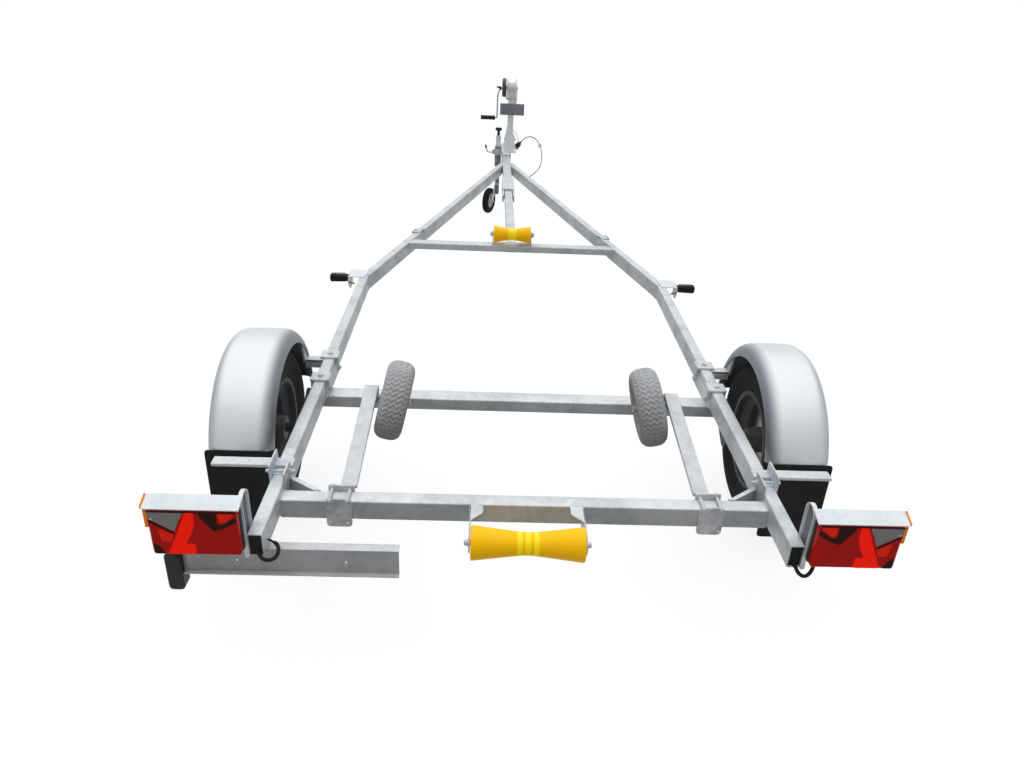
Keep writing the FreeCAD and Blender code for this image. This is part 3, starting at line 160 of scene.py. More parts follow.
def lathe(profile, origin, axis, steps=48, closed=False):
    """Surface of revolution of (along, radius) rows about an axis."""
    rows = np.array(profile, float)
    return surface(spun(rows[:, :1], rows[:, 1:], steps, origin, unit(axis), *across(axis)), close_u=closed)


def both_ends(rows, middle=()):
    """Rows, then what lies between, then the rows again backwards with their first value negated."""
    return [*rows, *middle, *((-a, r) for a, r in rows[::-1])]


def rounded(corners, radius, n=4):
    """Each corner C becomes (1-t)^2 A + 2t(1-t) C + t^2 B, with A and B one radius along its sides."""
    c = np.array(corners, float)
    before, after = np.roll(c, 1, 0) - c, np.roll(c, -1, 0) - c
    lb, la = np.linalg.norm(before, axis=1), np.linalg.norm(after, axis=1)
    r = np.minimum(radius, 0.49 * np.minimum(lb, la))[:, None]
    start, end = c + before / lb[:, None] * r, c + after / la[:, None] * r
    t = np.linspace(0, 1, n + 1)[None, :, None]
    curve = (1 - t) ** 2 * start[:, None] + 2 * t * (1 - t) * c[:, None] + t ** 2 * end[:, None]
    return curve.reshape(-1, c.shape[1])


def four(u0, u1, v0, v1):
    """The corners of an oblong."""
    return [(u0, v0), (u1, v0), (u1, v1), (u0, v1)]


def oblong(u0, u1, v0, v1, radius, n=3):
    return rounded(four(u0, u1, v0, v1), radius, n)


def middle(box):
    """The middle of a box, or of any two corners."""
    return np.array([(a + b) / 2 for a, b in zip(*box)])


def by(u, v, *steps):
    """Places reached from (u, v) by each of the steps."""
    return [(u + a, v + b) for a, b in steps]


def inset(outline, distance):
    """A closed outline drawn in along the bisector of each corner's two sides."""
    ahead = np.roll(outline, -1, 0) - outline
    ahead /= np.maximum(np.linalg.norm(ahead, axis=1), 1e-9)[:, None]
    inward = np.stack([-ahead[:, 1], ahead[:, 0]], -1)
    x, y = outline.T
    if np.sum(x * np.roll(y, -1) - y * np.roll(x, -1)) < 0:
        inward = -inward
    other = np.roll(inward, 1, 0)
    scale = 1 + np.maximum(np.sum(inward * other, 1), -0.5)
    return outline + (inward + other) / scale[:, None] * distance


def slab(outline, origin, x_axis, y_axis, thick, bevel=0.0008):
    """A flat plate: its outline at four levels through the thickness, the outer two drawn in."""
    outline = np.array(outline, float)
    ex, ey = np.array(x_axis, float), np.array(y_axis, float)
    ez = np.cross(ex, ey)
    bevel = min(bevel, thick / 2.5)
    small = inset(outline, bevel)
    rows = []
    for level, shape in ((0, small), (bevel, outline), (thick - bevel, outline), (thick, small)):
        rows.append(np.asarray(origin, float) + shape[:, :1] * ex + shape[:, 1:] * ey + level * ez)
    return surface(np.array(rows), caps=True)


X, Y, Z = np.eye(3)


def block(x0, x1, y0, y1, z0, z1, radius=0.001, bevel=0.0008):
    """A block between two X, two Y and two Z values, its edges rounded a little."""
    x0, x1 = sorted((x0, x1))
    return slab(oblong(x0, x1, y0, y1, radius), (0, 0, z0), X, Y, z1 - z0, bevel)


def side_plate(outline, x0, x1, radius=0.002, bevel=0.0008):
    """A plate that faces sideways, over (y, z) corners."""
    x0, x1 = sorted((x0, x1))
    return slab(rounded(outline, radius, 3), (x0, 0, 0), Y, Z, x1 - x0, bevel)


def flat_plate(outline, z0, z1, radius=0.002, bevel=0.0008):
    """A level plate over (x, y) corners."""
    return slab(rounded(outline, radius, 3), (0, 0, z0), X, Y, z1 - z0, bevel)


def end_plate(outline, y0, y1, radius=0.002, bevel=0.0008):
    """An upright plate that faces the rear, over (x, z) corners."""
    return slab(rounded(outline, radius, 3), (0, y1, 0), X, Z, y1 - y0, bevel)


def pipe(path, radius, sides=12):
    """A round bar: circles carried along a path, each turned the least from the one before."""
    p = np.array(path, float)
    radius = np.broadcast_to(radius, len(p))
    ahead = np.gradient(p, axis=0)
    ahead /= np.linalg.norm(ahead, axis=1)[:, None]
    e1, _ = across(ahead[0])
    rings = []
    for point, way, r in zip(p, ahead, radius):
        e1 = unit(e1 - way * (e1 @ way))
        e2 = np.cross(way, e1)
        rings.append(point + r * circle(around(sides), e1, e2))
    return surface(np.array(rings), caps=True)


def bent(corners, radius, n=6):
    """An open path with its inner corners rounded as `rounded` does."""
    c = np.array(corners, float)
    path = [c[0]]
    for before, here, after in zip(c, c[1:], c[2:]):
        cut = min(radius, 0.49 * np.linalg.norm(before - here), 0.49 * np.linalg.norm(after - here))
        a, b = here + unit(before - here) * cut, here + unit(after - here) * cut
        t = np.linspace(0, 1, n + 1)[:, None]
        path += list((1 - t) ** 2 * a + 2 * t * (1 - t) * here + t ** 2 * b)
    return np.array(path + [c[-1]])


def rod(radius, start, end, sides=24, bevel=0.001):
    """A straight round bar with its two ends chamfered."""
    start, end = np.array(start, float), np.array(end, float)
    length = np.linalg.norm(end - start)
    profile = [(0, 0), (0, radius - bevel), (bevel, radius), (length - bevel, radius),
               (length, radius - bevel), (length, 0)]
    return lathe(profile, start, end - start, sides)


def nut(at, axis, across_flats, height, spare=0.006, washer=True):
    """A hexagon on a washer with the bolt's end standing out of it."""
    r = across_flats / math.sqrt(3)
    flat = height * 0.2
    parts = [lathe([(flat, 0), (flat, r * 0.94), (flat * 1.6, r), (height, r), (height * 1.15, r * 0.88),
                    (height * 1.15, 0)], at, axis, 6)]
    if washer:
        w = r * 1.25
        parts.append(lathe([(0, 0), (0, w), (flat * 0.8, w), (flat, w * 0.95), (flat, 0)], at, axis, 20))
    if spare:
        b = r * 0.52
        parts.append(lathe([(height, 0), (height, b), (height + spare - b * 0.2, b),
                            (height + spare, b * 0.8), (height + spare, 0)], at, axis, 12))
    return merged(parts)


def side_nuts(x, half, y, z, *size, **more):
    """Two nuts that face outwards, at half a width to each side of an X."""
    return [nut((x + way * half, y, z), (way, 0, 0), *size, **more) for way in (-1, 1)]


def finer(outline, step):
    """A closed outline with more points on its long sides."""
    points = []
    for a, b in zip(outline, np.roll(outline, -1, 0)):
        count = max(1, int(np.linalg.norm(b - a) / step))
        points += [a + (b - a) * k / count for k in range(count)]
    return np.array(points)


def tube_bar(width, height, wall, corner, a, b, up, start=(), stop=(), step=1.0):
    """A hollow bar of rounded oblong section from a to b. Each section point runs along the bar to the
    last of the planes (point, normal) at its start and to the first of those at its stop."""
    a, b, up = np.array(a, float), np.array(b, float), unit(up)
    d = unit(b - a)
    side = np.cross(d, up)

    def section(less, r):
        w, h = width / 2 - less, height / 2 - less
        return finer(oblong(-w, w, -h, h, r, 4), step)

    def meets(points, planes, choose):
        reach = [((np.array(q, float) - points) @ n) / (d @ n) for q, n in planes]
        return points + choose(reach, axis=0)[:, None] * d

    rows = []
    outer, inner = section(0, corner), section(wall, max(corner - wall, 0.001))
    for outline, end in ((outer, a), (outer, b), (inner, b), (inner, a)):
        points = end + outline[:, :1] * side + outline[:, 1:] * up
        if end is a:
            rows.append(meets(points, start or [(a, d)], np.max))
        else:
            rows.append(meets(points, stop or [(b, d)], np.min))
    return surface(np.array(rows), close_u=True)


def weld(path, radius=0.0028):
    """A weld bead: circles along a path whose size swells and shrinks with each ripple, every 4 mm."""
    path = np.array(path, float)
    lengths = np.concatenate([[0], np.cumsum(np.linalg.norm(np.diff(path, axis=0), axis=1))])
    along = np.linspace(0, lengths[-1], max(4, int(lengths[-1] / 0.0015)))
    fine = np.stack([np.interp(along, lengths, path[:, k]) for k in range(3)], -1)
    swell = 1 + 0.16 * np.sin(along * 2 * math.pi / 0.004) + 0.1 * np.sin(along * 2 * math.pi / 0.031)
    swell[[0, -1]] = 0.4
    return pipe(fine, radius * swell, 6)


# ---- pieces ----

def new_piece(name, shapes, look, stands_for=None, slot="galvanised", body=BODY, crisp=35.0):
    """Joins shapes into one piece that rides on a body, faces outwards, and is smooth up to an angle."""
    points, faces = merged(shapes) if isinstance(shapes, list) else shapes
    mesh = bpy.data.meshes.new(name)
    mesh.from_pydata(points.tolist(), [], faces)
    work = bmesh.new()
    work.from_mesh(mesh)
    bmesh.ops.remove_doubles(work, verts=work.verts, dist=1e-6)
    bmesh.ops.recalc_face_normals(work, faces=work.faces)
    work.to_mesh(mesh)
    work.free()
    mesh.shade_smooth()
    mesh.set_sharp_from_angle(angle=math.radians(crisp))
    mesh.materials.append(materials[look])
    piece = bpy.data.objects.new(name, mesh)
    bpy.context.scene.collection.objects.link(piece)
    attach(piece, body)
    if stands_for:
        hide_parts(stands_for)
    return piece


def pair(name, shapes, look, stands_for=None, body=BODY, **more):
    """A right-hand piece and its mirror image; body and node get the same endings as the name."""
    one = merged(shapes) if isinstance(shapes, list) else shapes
    for side, shape in (("_right", one), ("_left", mirrored(one))):
        node = stands_for and stands_for + side
        new_piece(name + side, shape, look, node, body=body if body == BODY else body + side, **more)


# ---- shader maths ----

class Value:
    """A shader socket that takes part in arithmetic: each operation adds a Math node."""

    def __init__(self, nodes, socket):
        self.nodes, self.socket = nodes, socket

    def __add__(self, other):
        return self.nodes.math("ADD", self, other)

    def __radd__(self, other):
        return self.nodes.math("ADD", other, self)

    def __sub__(self, other):
        return self.nodes.math("SUBTRACT", self, other)

    def __rsub__(self, other):
        return self.nodes.math("SUBTRACT", other, self)

    def __mul__(self, other):
        return self.nodes.math("MULTIPLY", self, other)

    def rise(self, low, high):
        """0 below low, 1 above high, smooth between."""
        return self.nodes.node("MapRange", {"interpolation_type": "SMOOTHSTEP"}, {0: self, 1: low, 2: high})

    def wave(self, cycles):
        """sin of the value times so many turns per unit, from 0 to 1."""
        return self.nodes.math("SINE", self * (2 * math.pi * cycles)) * 0.5 + 0.5


class Nodes:
    """A node tree, with the one method that adds any node."""

    def __init__(self, tree):
        self.tree = tree

    def node(self, kind, settings=(), inputs=(), out=0):
        """Any node: its settings are set first, then its sockets' values or links."""
        made = self.tree.nodes.new("ShaderNode" + kind)
        for key, value in dict(settings).items():
            setattr(made, key, value)
        self.feed(made, inputs)
        return Value(self, made.outputs[out])

    def feed(self, node, inputs):
        for key, value in dict(inputs).items():
            if isinstance(value, Value):
                self.tree.links.new(value.socket, node.inputs[key])
            else:
                node.inputs[key].default_value = value

    def math(self, operation, a, b=0.0):
        return self.node("Math", {"operation": operation}, {0: a, 1: b})

    def seen(self):
        """1 on the rays of the camera, of mirrors and of glass, 0 on the others."""
        camera, glossy, glass = (self.node("LightPath", out="Is " + ray + " Ray")
                                 for ray in ("Camera", "Glossy", "Transmission"))
        return self.math("MAXIMUM", self.math("MAXIMUM", camera, glossy), glass)


materials = {}


class Paint(Nodes):
    """One material, kept in `materials`: its Principled shader, and the nodes that feed it."""

    def __init__(self, name, colour, roughness, glow=None, **fixed):
        self.material = materials[name] = bpy.data.materials.new(name)
        self.material.use_nodes = True
        super().__init__(self.material.node_tree)
        self.shader = self.tree.nodes["Principled BSDF"]
        self.set(Base_Color=(*colour, 1.0), Roughness=roughness, **fixed)
        if glow:
            self.set(Emission_Color=(*glow[:3], 1.0), Emission_Strength=glow[3])
        self.place = self.node("TexCoord", out="Object")

    def set(self, **sockets):
        """Feeds the shader's sockets, named with _ for each space."""
        self.feed(self.shader, {key.replace("_", " "): value for key, value in sockets.items()})

    def noise(self, scale, detail=3.0, rough=0.55):
        return self.node("TexNoise", {}, {"Vector": self.place, "Scale": scale, "Detail": detail,
                                          "Roughness": rough}, "Fac")

    def axis(self, index):
        return self.node("SeparateXYZ", {}, {0: self.place}, index)

    def mix(self, factor, a, b):
        """A colour between two colours."""
        a, b = ((*c, 1.0) if isinstance(c, tuple) else c for c in (a, b))
        return self.node("Mix", {"data_type": "RGBA"}, {0: factor, 6: a, 7: b}, 2)

    def bump(self, height, strength, distance=0.0006):
        inputs = {"Height": height, "Strength": strength, "Distance": distance}
        self.set(Normal=self.node("Bump", {}, inputs, "Normal"))


def times(colour, factor):
    return tuple(c * factor for c in colour)


def galvanised(name, light, dark, grain=1.0, sides=1.0, glow=None):
    """Zinc coat: crystal cells of slightly different grey, cloudy stains and fine pitting; faces that
    do not look upwards get painted shade, their colours times the factor `sides`; `glow` is painted light."""
    p = Paint(name, light, 0.42, glow, Metallic=0.15)
    cells = p.node("TexVoronoi", {"feature": "F1"}, {"Vector": p.place, "Scale": 90.0 * grain}, "Color")
    crystal = p.node("RGBToBW", {}, {0: cells})
    cloud = p.noise(7.0 * grain, 5.0, 0.62).rise(0.35, 0.72)
    worn = (cloud * 0.55 + crystal * 0.35 + p.noise(240.0, 2.0) * 0.25).rise(0.18, 0.95)
    coat = p.mix(worn, light, dark)
    # painted shade: faces that do not look upwards are darkened by the factor sides
    if sides < 1.0:
        up = p.node("SeparateXYZ", {}, {0: p.node("TexCoord", out="Normal")}, 2).rise(0.3, 0.9)
        coat = p.mix(up, p.mix(worn, times(light, sides), times(dark, sides)), coat)
    p.set(Base_Color=coat, Roughness=0.36 + crystal * 0.16 + cloud * 0.1)
    p.bump(crystal * 0.4 + p.noise(60.0, 4.0) * 0.6, 0.18, 0.0012)


def moulded(name, colour, roughness=0.5, speckle=0.1, scale=300.0, specular=0.5, glow=None, **fixed):
    """Moulded plastic or rubber with a fine grain and slight dust; its emission `glow` is painted light."""
    p = Paint(name, colour, roughness, glow, Specular_IOR_Level=specular, **fixed)
    dusty = tuple(min(1.0, c * (1 + speckle * 2.5) + 0.012) for c in colour)
    dust = p.noise(9.0, 4.0).rise(0.4, 0.75)
    p.set(Base_Color=p.mix(dust * 0.7, colour, dusty), Roughness=roughness + p.noise(scale, 2.0) * 0.12)
    p.bump(p.noise(scale), 0.12)


def guard_coat(name, light, shade):
    """Brushed silver with painted shade: duller towards the guard's outer edge and dark blue-grey down
    its inner shoulder; both come from the distance from the trailer's middle plane."""
    p = Paint(name, light, 0.45, Metallic=0.5, Specular_IOR_Level=0.3)
    away = p.math("ABSOLUTE", p.axis(0))
    # painted shade: duller towards the outer edge and dark blue-grey down the inner shoulder
    outer = away.rise(0.955, 0.998) * 0.55
    inner = (1.0 - away.rise(0.793, 0.838)) * 0.85
    p.set(Base_Color=p.mix(outer + inner, light, shade), Roughness=0.42 + p.noise(420.0, 2.0) * 0.1)
    p.bump(p.noise(300.0), 0.06)


def wheel_coat(name, light, shade, edge):
    """Silver paint; the wheel's inner side, nearer the middle plane than `edge`, gets dark painted shade."""
    p = Paint(name, light, 0.4, Metallic=0.3)
    # painted shade on the wheel's inner side
    inner = 1.0 - p.math("ABSOLUTE", p.axis(0)).rise(edge - 0.012, edge + 0.004)
    painted_inner_shade = inner * (0.8 + p.noise(25.0, 4.0) * 0.2)
    p.set(Base_Color=p.mix(painted_inner_shade, light, shade), Roughness=0.38 + painted_inner_shade * 0.35)
    p.bump(p.noise(200.0), 0.08)


def lens(name, colour, glow=0.0):
    """Ribbed lens: small prisms in diagonal rows under a smooth skin; its emission `glow` is painted light.
    """
    p = Paint(name, colour, 0.22, (*colour, glow), Specular_IOR_Level=0.06)
    prisms = p.axis(0).wave(230.0) * p.axis(2).wave(230.0)
    p.set(Base_Color=p.mix(prisms, colour, times(colour, 0.7)), Roughness=0.2 + prisms * 0.12)
    p.bump(prisms, 0.25)


def build_materials():
    galvanised("galvanised", (0.70, 0.745, 0.77), (0.50, 0.545, 0.575))
    # painted light and shade: a lighter copy of galvanised whose faces that do not look upwards are darkened
    galvanised("galvanised_painted_light_and_shade", (0.76, 0.795, 0.815), (0.57, 0.60, 0.625), 0.8, 0.66)
    galvanised("arm_galvanised", (0.74, 0.76, 0.785), (0.40, 0.42, 0.44), 0.8)
    galvanised("zinc", (0.66, 0.68, 0.70), (0.54, 0.56, 0.585), 2.2)
    # these three zinc copies are lighter and glow: painted light
    galvanised("bright_zinc", (0.72, 0.77, 0.80), (0.63, 0.685, 0.72), 1.6, glow=(0.7, 0.76, 0.8, 0.09))
    galvanised("painted_light_winch_zinc", (0.68, 0.69, 0.70), (0.56, 0.57, 0.58), 2.2, glow=(0.7, 0.71, 0.72, 0.10))
    galvanised("painted_light_post_zinc", (0.74, 0.79, 0.815), (0.64, 0.69, 0.72), 1.6, glow=(0.7, 0.76, 0.785, 0.17))
    galvanised("dull_zinc", (0.52, 0.50, 0.485), (0.43, 0.415, 0.40), 1.4)
    guard_coat("mudguard", (0.62, 0.65, 0.665), (0.20, 0.22, 0.25))
    wheel_coat("rim", (0.55, 0.56, 0.57), (0.035, 0.034, 0.034), 0.912)
    moulded("sleeve", (0.27, 0.255, 0.235), 0.45, 0.2)
    # a dark sheet of painted shade for the lamp channel's recess
    moulded("painted_recess_shade", (0.20, 0.205, 0.235), 0.6)
    moulded("black_steel", (0.035, 0.036, 0.038), specular=0.3)
    moulded("tyre", (0.012, 0.0115, 0.0115), 0.78, 0.3, specular=0.2)
    moulded("hub_silver", (0.55, 0.56, 0.57), 0.36, 0.05, Metallic=0.3)
    moulded("black_rubber", (0.009, 0.0085, 0.0085), 0.68, 0.2, specular=0.2)
    moulded("stop_rubber", (0.38, 0.41, 0.465), 0.65, specular=0.2)
    moulded("black_plastic", (0.010, 0.0095, 0.0095), 0.45, 0.2, specular=0.25)
    moulded("cover_black", (0.03, 0.032, 0.035), 0.32)
    # the yellow's emission is painted light
    moulded("yellow", (1.0, 0.59, 0.0), 0.42, 0.0, 200.0, 0.2, glow=(1.0, 0.47, 0.0, 0.24))
    # brighter yellow that glows: painted highlight for the waist bands
    moulded("yellow_painted_highlight", (1.0, 0.80, 0.01), 0.42, 0.0, 200.0, 0.2, glow=(1.0, 0.72, 0.0, 0.30))
    moulded("grey_rubber", (0.50, 0.515, 0.53), 0.8, specular=0.25)
    moulded("grey_plastic", (0.2, 0.21, 0.215))
    moulded("cable_grey", (0.30, 0.31, 0.32))
    # the webbings' emission is painted light
    moulded("webbing", (0.74, 0.74, 0.72), 0.75, glow=(0.7, 0.7, 0.68, 0.12))
    moulded("orange_webbing", (0.95, 0.62, 0.30), 0.75, 0.05, glow=(0.9, 0.55, 0.25, 0.25))
    moulded("tag_white", (0.72, 0.73, 0.74), 0.7, 0.0)
    # the lens emissions are painted light and painted highlights
    lens("lamp_red", (0.72, 0.014, 0.009), 0.05)
    lens("lamp_clear", (0.44, 0.42, 0.41))
    lens("lamp_glow", (1.0, 0.012, 0.002), 0.42)
    lens("lamp_spot", (0.95, 0.022, 0.006), 0.22)
    lens("lamp_dark", (0.05, 0.011, 0.008))
    lens("amber", (0.95, 0.30, 0.03), 0.2)
    lens("marker_clear", (0.55, 0.56, 0.57))


def finish_nodes():
    """The nodes that are shown as packed take their materials."""
    for name, look in (("swing_arm_right", "black_steel"), ("swing_arm_left", "black_steel"),
                       ("plate_holder", "dull_zinc")):
        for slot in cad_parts[name].material_slots:
            slot.material = materials[look]


def make_stage():
    """A pale floor, a wide soft sun overhead, a weak one from behind, and a white surround that only
    the camera, mirrors and glass see at full strength."""
    scene = bpy.context.scene
    scene.view_settings.view_transform = "Standard"
    scene.world = bpy.data.worlds.new("studio")
    scene.world.use_nodes = True
    w = Nodes(scene.world.node_tree)
    strength = w.node("MapRange", {}, {"Value": w.seen(), "To Min": WORLD_LIGHT})
    w.feed(w.tree.nodes["Background"], {"Color": (1, 1, 1, 1), "Strength": strength})
    for name, energy, spread, source in SUNS:
        data = bpy.data.lights.new(name, "SUN")
        data.energy, data.angle = energy, spread
        lamp = bpy.data.objects.new(name, data)
        scene.collection.objects.link(lamp)
        lamp.matrix_world = placement(*across(source), unit(source), (0, 0, 6))
    p = Paint("floor", (FLOOR_TONE,) * 3, 0.9, Specular_IOR_Level=0.0)
    p.set(Emission_Color=p.mix(p.seen(), (0.0, 0.0, 0.0), (1.0, 1.0, 1.0)), Emission_Strength=FLOOR_GLOW)
    mesh = bpy.data.meshes.new("floor")
    r = FLOOR_REACH
    mesh.from_pydata([(-r, -r, 0), (r, -r, 0), (r, r, 0), (-r, r, 0)], [], [(0, 1, 2, 3)])
    mesh.materials.append(p.material)
    floor = bpy.data.objects.new("floor", mesh)
    scene.collection.objects.link(floor)


make_camera()
make_stage()
build_materials()
finish_nodes()


# ---- frame ----

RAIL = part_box("side_rail_right")
IN, OUT = RAIL[0].x, RAIL[1].x
LOW, TOP = RAIL[0].z, RAIL[1].z
WIDE, TALL, WALL, CORNER = OUT - IN, TOP - LOW, 0.003, 0.006
MID_X, MID_Z = (IN + OUT) / 2, (LOW + TOP) / 2
TAIL_DEEP = 0.05                                # the rear cross member's tube, front to back
TURN = math.radians(14.7)
BEND = RAIL[1].y - WIDE / 2 * math.tan(TURN / 2)     # Y of the bend on the rail's axis
BEND_IN = BEND - WIDE / 2 * math.tan(TURN / 2)
LEG_WAY = np.array([-math.sin(TURN), math.cos(TURN), 0])
LEG_OUT = np.array([math.cos(TURN), math.sin(TURN), 0])
MITRE = np.array([-math.sin(TURN / 2), math.cos(TURN / 2), 0])


def leg_in(y):
    """X of the right leg's inner face at a Y."""
    return IN - (y - BEND_IN) * math.tan(TURN)


def leg_block(along, length, out0, out1, z0, z1):
    """A block on the right leg: `along` is the Y on its inner face, out0 and out1 lie across it."""
    return slab(oblong(out0, out1, 0, length, 0.001, 2), (leg_in(along), along, z0), LEG_OUT, LEG_WAY,
                z1 - z0)


def frame_tubes():
    """Rails and legs, which meet in a mitre with a weld round it; a weld along the legs' meeting."""
    bend = (MID_X, BEND, MID_Z)
    rail = tube_bar(WIDE, TALL, WALL, CORNER, (MID_X, REAR, MID_Z), bend, Z, stop=[(bend, MITRE)])
    ring = tube_bar(WIDE + 0.001, TALL + 0.001, WALL, CORNER, bend, bend + MITRE * 0.01, Z,
                    start=[(bend, MITRE)])
    seam = ring[0].reshape(4, -1, 3)[0]
    pair("frame_rail", [rail, weld(np.vstack([seam, seam[:1]]), 0.002)], "galvanised", "side_rail")
    lo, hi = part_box("drawbar_leg_right")
    far = np.array(bend) + LEG_WAY * 2.7
    leg = tube_bar(WIDE, TALL, WALL, CORNER, bend, far, Z, start=[(bend, MITRE)],
                   stop=[((lo.x, 0, 0), X), ((0, hi.y, 0), Y)], step=0.004)
    apex = [(lo.x, leg_meets(lo.x) + 0.002, TOP), (lo.x, hi.y, TOP)]
    pair("frame_leg", [leg, weld(apex)], "galvanised", "drawbar_leg")


def rail_plugs():
    """A dark block just inside the open rear end of each rail: painted shade inside the tube."""
    w = WALL + 0.0002
    # painted shade: a dark block inside the open tube end
    plug = block(IN + w, OUT - w, REAR + 0.005, REAR + 0.02, LOW + w, TOP - w, 0.003)
    pair("rail_end_shade", plug, "black_rubber", slot="black_rubber")


def leg_meets(x):
    """Y where the right leg's inner face reaches an X."""
    return BEND_IN + (IN - x) / math.tan(TURN)


def tail_member():
    """Oblong tube between the rails; ahead of it at each end an upright plate and a flat brace on edge."""
    lo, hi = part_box("rear_cross_member")
    plate, low, top, far = 0.005, lo.z, TOP - 0.02, hi.y
    edge, y0, y1 = hi.x - plate, lo.y, lo.y + TAIL_DEEP
    z, y = (low + top) / 2, (y0 + y1) / 2
    tube = tube_bar(TAIL_DEEP, top - low, WALL, CORNER, (-hi.x, y, z), (hi.x, y, z), Z)
    brace = [(edge, far), (edge, far - 0.02), (edge - 0.08, y1), (edge - 0.1, y1)]
    ends = [side_plate(four(y1, far, low, hi.z), edge, hi.x, 0.006), flat_plate(brace, top - 0.04, top),
            weld([(hi.x, y0, z - 0.025), (hi.x, y0, top), (hi.x, y1, top)]),
            weld([(edge, far - 0.02, top), (edge, far, top)]),
            weld([(edge - 0.08, y1, top), (edge - 0.1, y1, top)])]
    new_piece("tail_member", [tube] + with_mirror(ends), "galvanised_painted_light_and_shade", "rear_cross_member")


def front_member():
    """Flat oblong tube between the legs, and a strap at each end that holds it to its leg."""
    deep, tall, t, gap = 0.062, 0.035, 0.006, 0.11
    y0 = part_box("front_cross_member")[0].y
    y1 = y0 + deep
    z, y = TOP - tall / 2, (y0 + y1) / 2
    plane = ((leg_in(y), y, z), LEG_OUT)
    other = ((-leg_in(y), y, z), LEG_OUT * (-1, 1, 1))
    tube = tube_bar(deep, tall, WALL, CORNER, (-1, y, z), (1, y, z), Z, [other], [plane], 0.008)
    hook = 0.06 / math.cos(TURN)
    strap = [leg_block(y1 - 0.02, (gap + 0.08) / math.cos(TURN), -t, 0, TOP - tall, TOP + t),
             leg_block(y1 + gap, hook, -t, WIDE + t, TOP, TOP + t),
             leg_block(y1 + gap, hook, WIDE, WIDE + t, TOP - tall, TOP + t),
             weld([(leg_in(y0), y0, z), (leg_in(y0), y0, TOP), (leg_in(y1), y1, TOP)], 0.002)]
    new_piece("front_member", [tube] + with_mirror(strap), "galvanised", "front_cross_member")


def square_bar(name, node, wall, z_top, width):
    """A square tube along the trailer, in the place of a node."""
    lo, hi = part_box(node)
    z = z_top - width / 2
    bar = tube_bar(width, width, wall, CORNER, (0, lo.y, z), (0, hi.y, z), Z)
    new_piece(name, bar, "galvanised", node)


def drawbar():
    """The towing bar, the keel bar behind it, and the channel that holds them together."""
    square_bar("towing_bar", "drawbar_tube", 0.004, TOP, 0.06)
    square_bar("keel_bar", "keel_tube", WALL, TOP - 0.005, 0.05)
    lo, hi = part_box("drawbar_collar")
    half, inner, top, low = hi.x, 0.03, TOP + 0.008, lo.z
    y0, y1 = hi.y - 0.33, hi.y
    channel = [(-half, low), (-inner, low), (-inner, TOP), (inner, TOP), (inner, low), (half, low),
               (half, top), (-half, top)]
    cheek = [(y0, TOP), (lo.y, TOP - 0.02), (lo.y, low + 0.01), (y0, low)]
    parts = [end_plate(channel, y0, y1)]
    parts += [side_plate(cheek, x, x + half - inner) for x in (-half, inner)]
    new_piece("bar_collar", parts, "galvanised", "drawbar_collar")


frame_tubes()
rail_plugs()
tail_member()
front_member()
drawbar()


# ---- axle, brackets and mudguards ----

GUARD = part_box("mudguard_right")
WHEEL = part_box("tyre_right")
WHEEL_R = WHEEL[1].z / 2
WHEEL_AT = middle(WHEEL)[1]
WHEEL_CENTRE = np.array([middle(WHEEL)[0], WHEEL_AT, WHEEL_R])
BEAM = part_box("axle_beam")
GUARD_LIP = GUARD[1].z - WHEEL_R - 0.05         # radius of the guard's lower edges


def axle_beam():
    """One hollow beam across the trailer."""
    _, y, z = middle(BEAM)
    tube = tube_bar(BEAM[1].y - BEAM[0].y, BEAM[1].z - BEAM[0].z, 0.005, 0.007,
                    (BEAM[0].x, y, z), (BEAM[1].x, y, z), Z)
    new_piece("axle_tube", tube, "galvanised_painted_light_and_shade", "axle_beam")


def axle_brackets():
    """A folded bracket under each rail, two clamp plates with bolts over it, and the front stay."""
    y0, y1 = BEAM[0].y, BEAM[1].y
    rear, t, up = y0 - 0.03, 0.005, 0.04
    front = rear + 0.25
    cheek = [(rear, LOW + 0.008), (y0, LOW), (y1, LOW), (front, LOW - t), (front, LOW + up),
             (rear + 0.02, LOW + up)]
    parts = [side_plate(cheek, IN - t, IN), side_plate(cheek, OUT, OUT + t),
             block(IN - t, OUT + t, y1 + 0.002, front, LOW - t, LOW)]
    half = 0.033
    for y in (rear + 0.006, front - 0.06):
        parts.append(block(MID_X - half, MID_X + half, y, y + 0.06, TOP, TOP + 0.008, 0.005, 0.0015))
        parts.append(nut((MID_X, y + 0.03, TOP + 0.008), Z, 0.017, 0.006, 0.001))
        for x0, x1 in ((MID_X - half, IN), (OUT, MID_X + half)):
            parts.append(block(x0, x1, y + 0.012, y + 0.048, LOW + up, TOP))
    for x in (IN - t, OUT + t):
        way = 1 if x > MID_X else -1
        parts += [nut((x, y, LOW + 0.022), (way, 0, 0), 0.017, 0.009, 0.005)
                  for y in (rear + 0.05, front - 0.03)]
        parts.append(weld([(x - way * t * 0.5, y0 + 0.004, LOW), (x - way * t * 0.5, y1 - 0.004, LOW)]))
    a = front - 0.076
    b, x0 = a + 0.04, GUARD[0].x + 0.004
    reach = GUARD_LIP + 0.014
    rise = math.radians(48)
    tip_y, tip_z = WHEEL_AT + reach * math.cos(rise), WHEEL_R + reach * math.sin(rise)
    parts += [block(OUT, x0 + 0.008, a, b, TOP - 0.006, TOP),
              block(OUT, x0, a, a + 0.005, TOP - 0.03, TOP),
              side_plate([(a, TOP - 0.008), (b, TOP - 0.008), (tip_y + 0.018, tip_z),
                          (tip_y - 0.018, tip_z)], x0, x0 + 0.008)]
    pair("axle_clamp", parts, "galvanised", "axle_bracket")


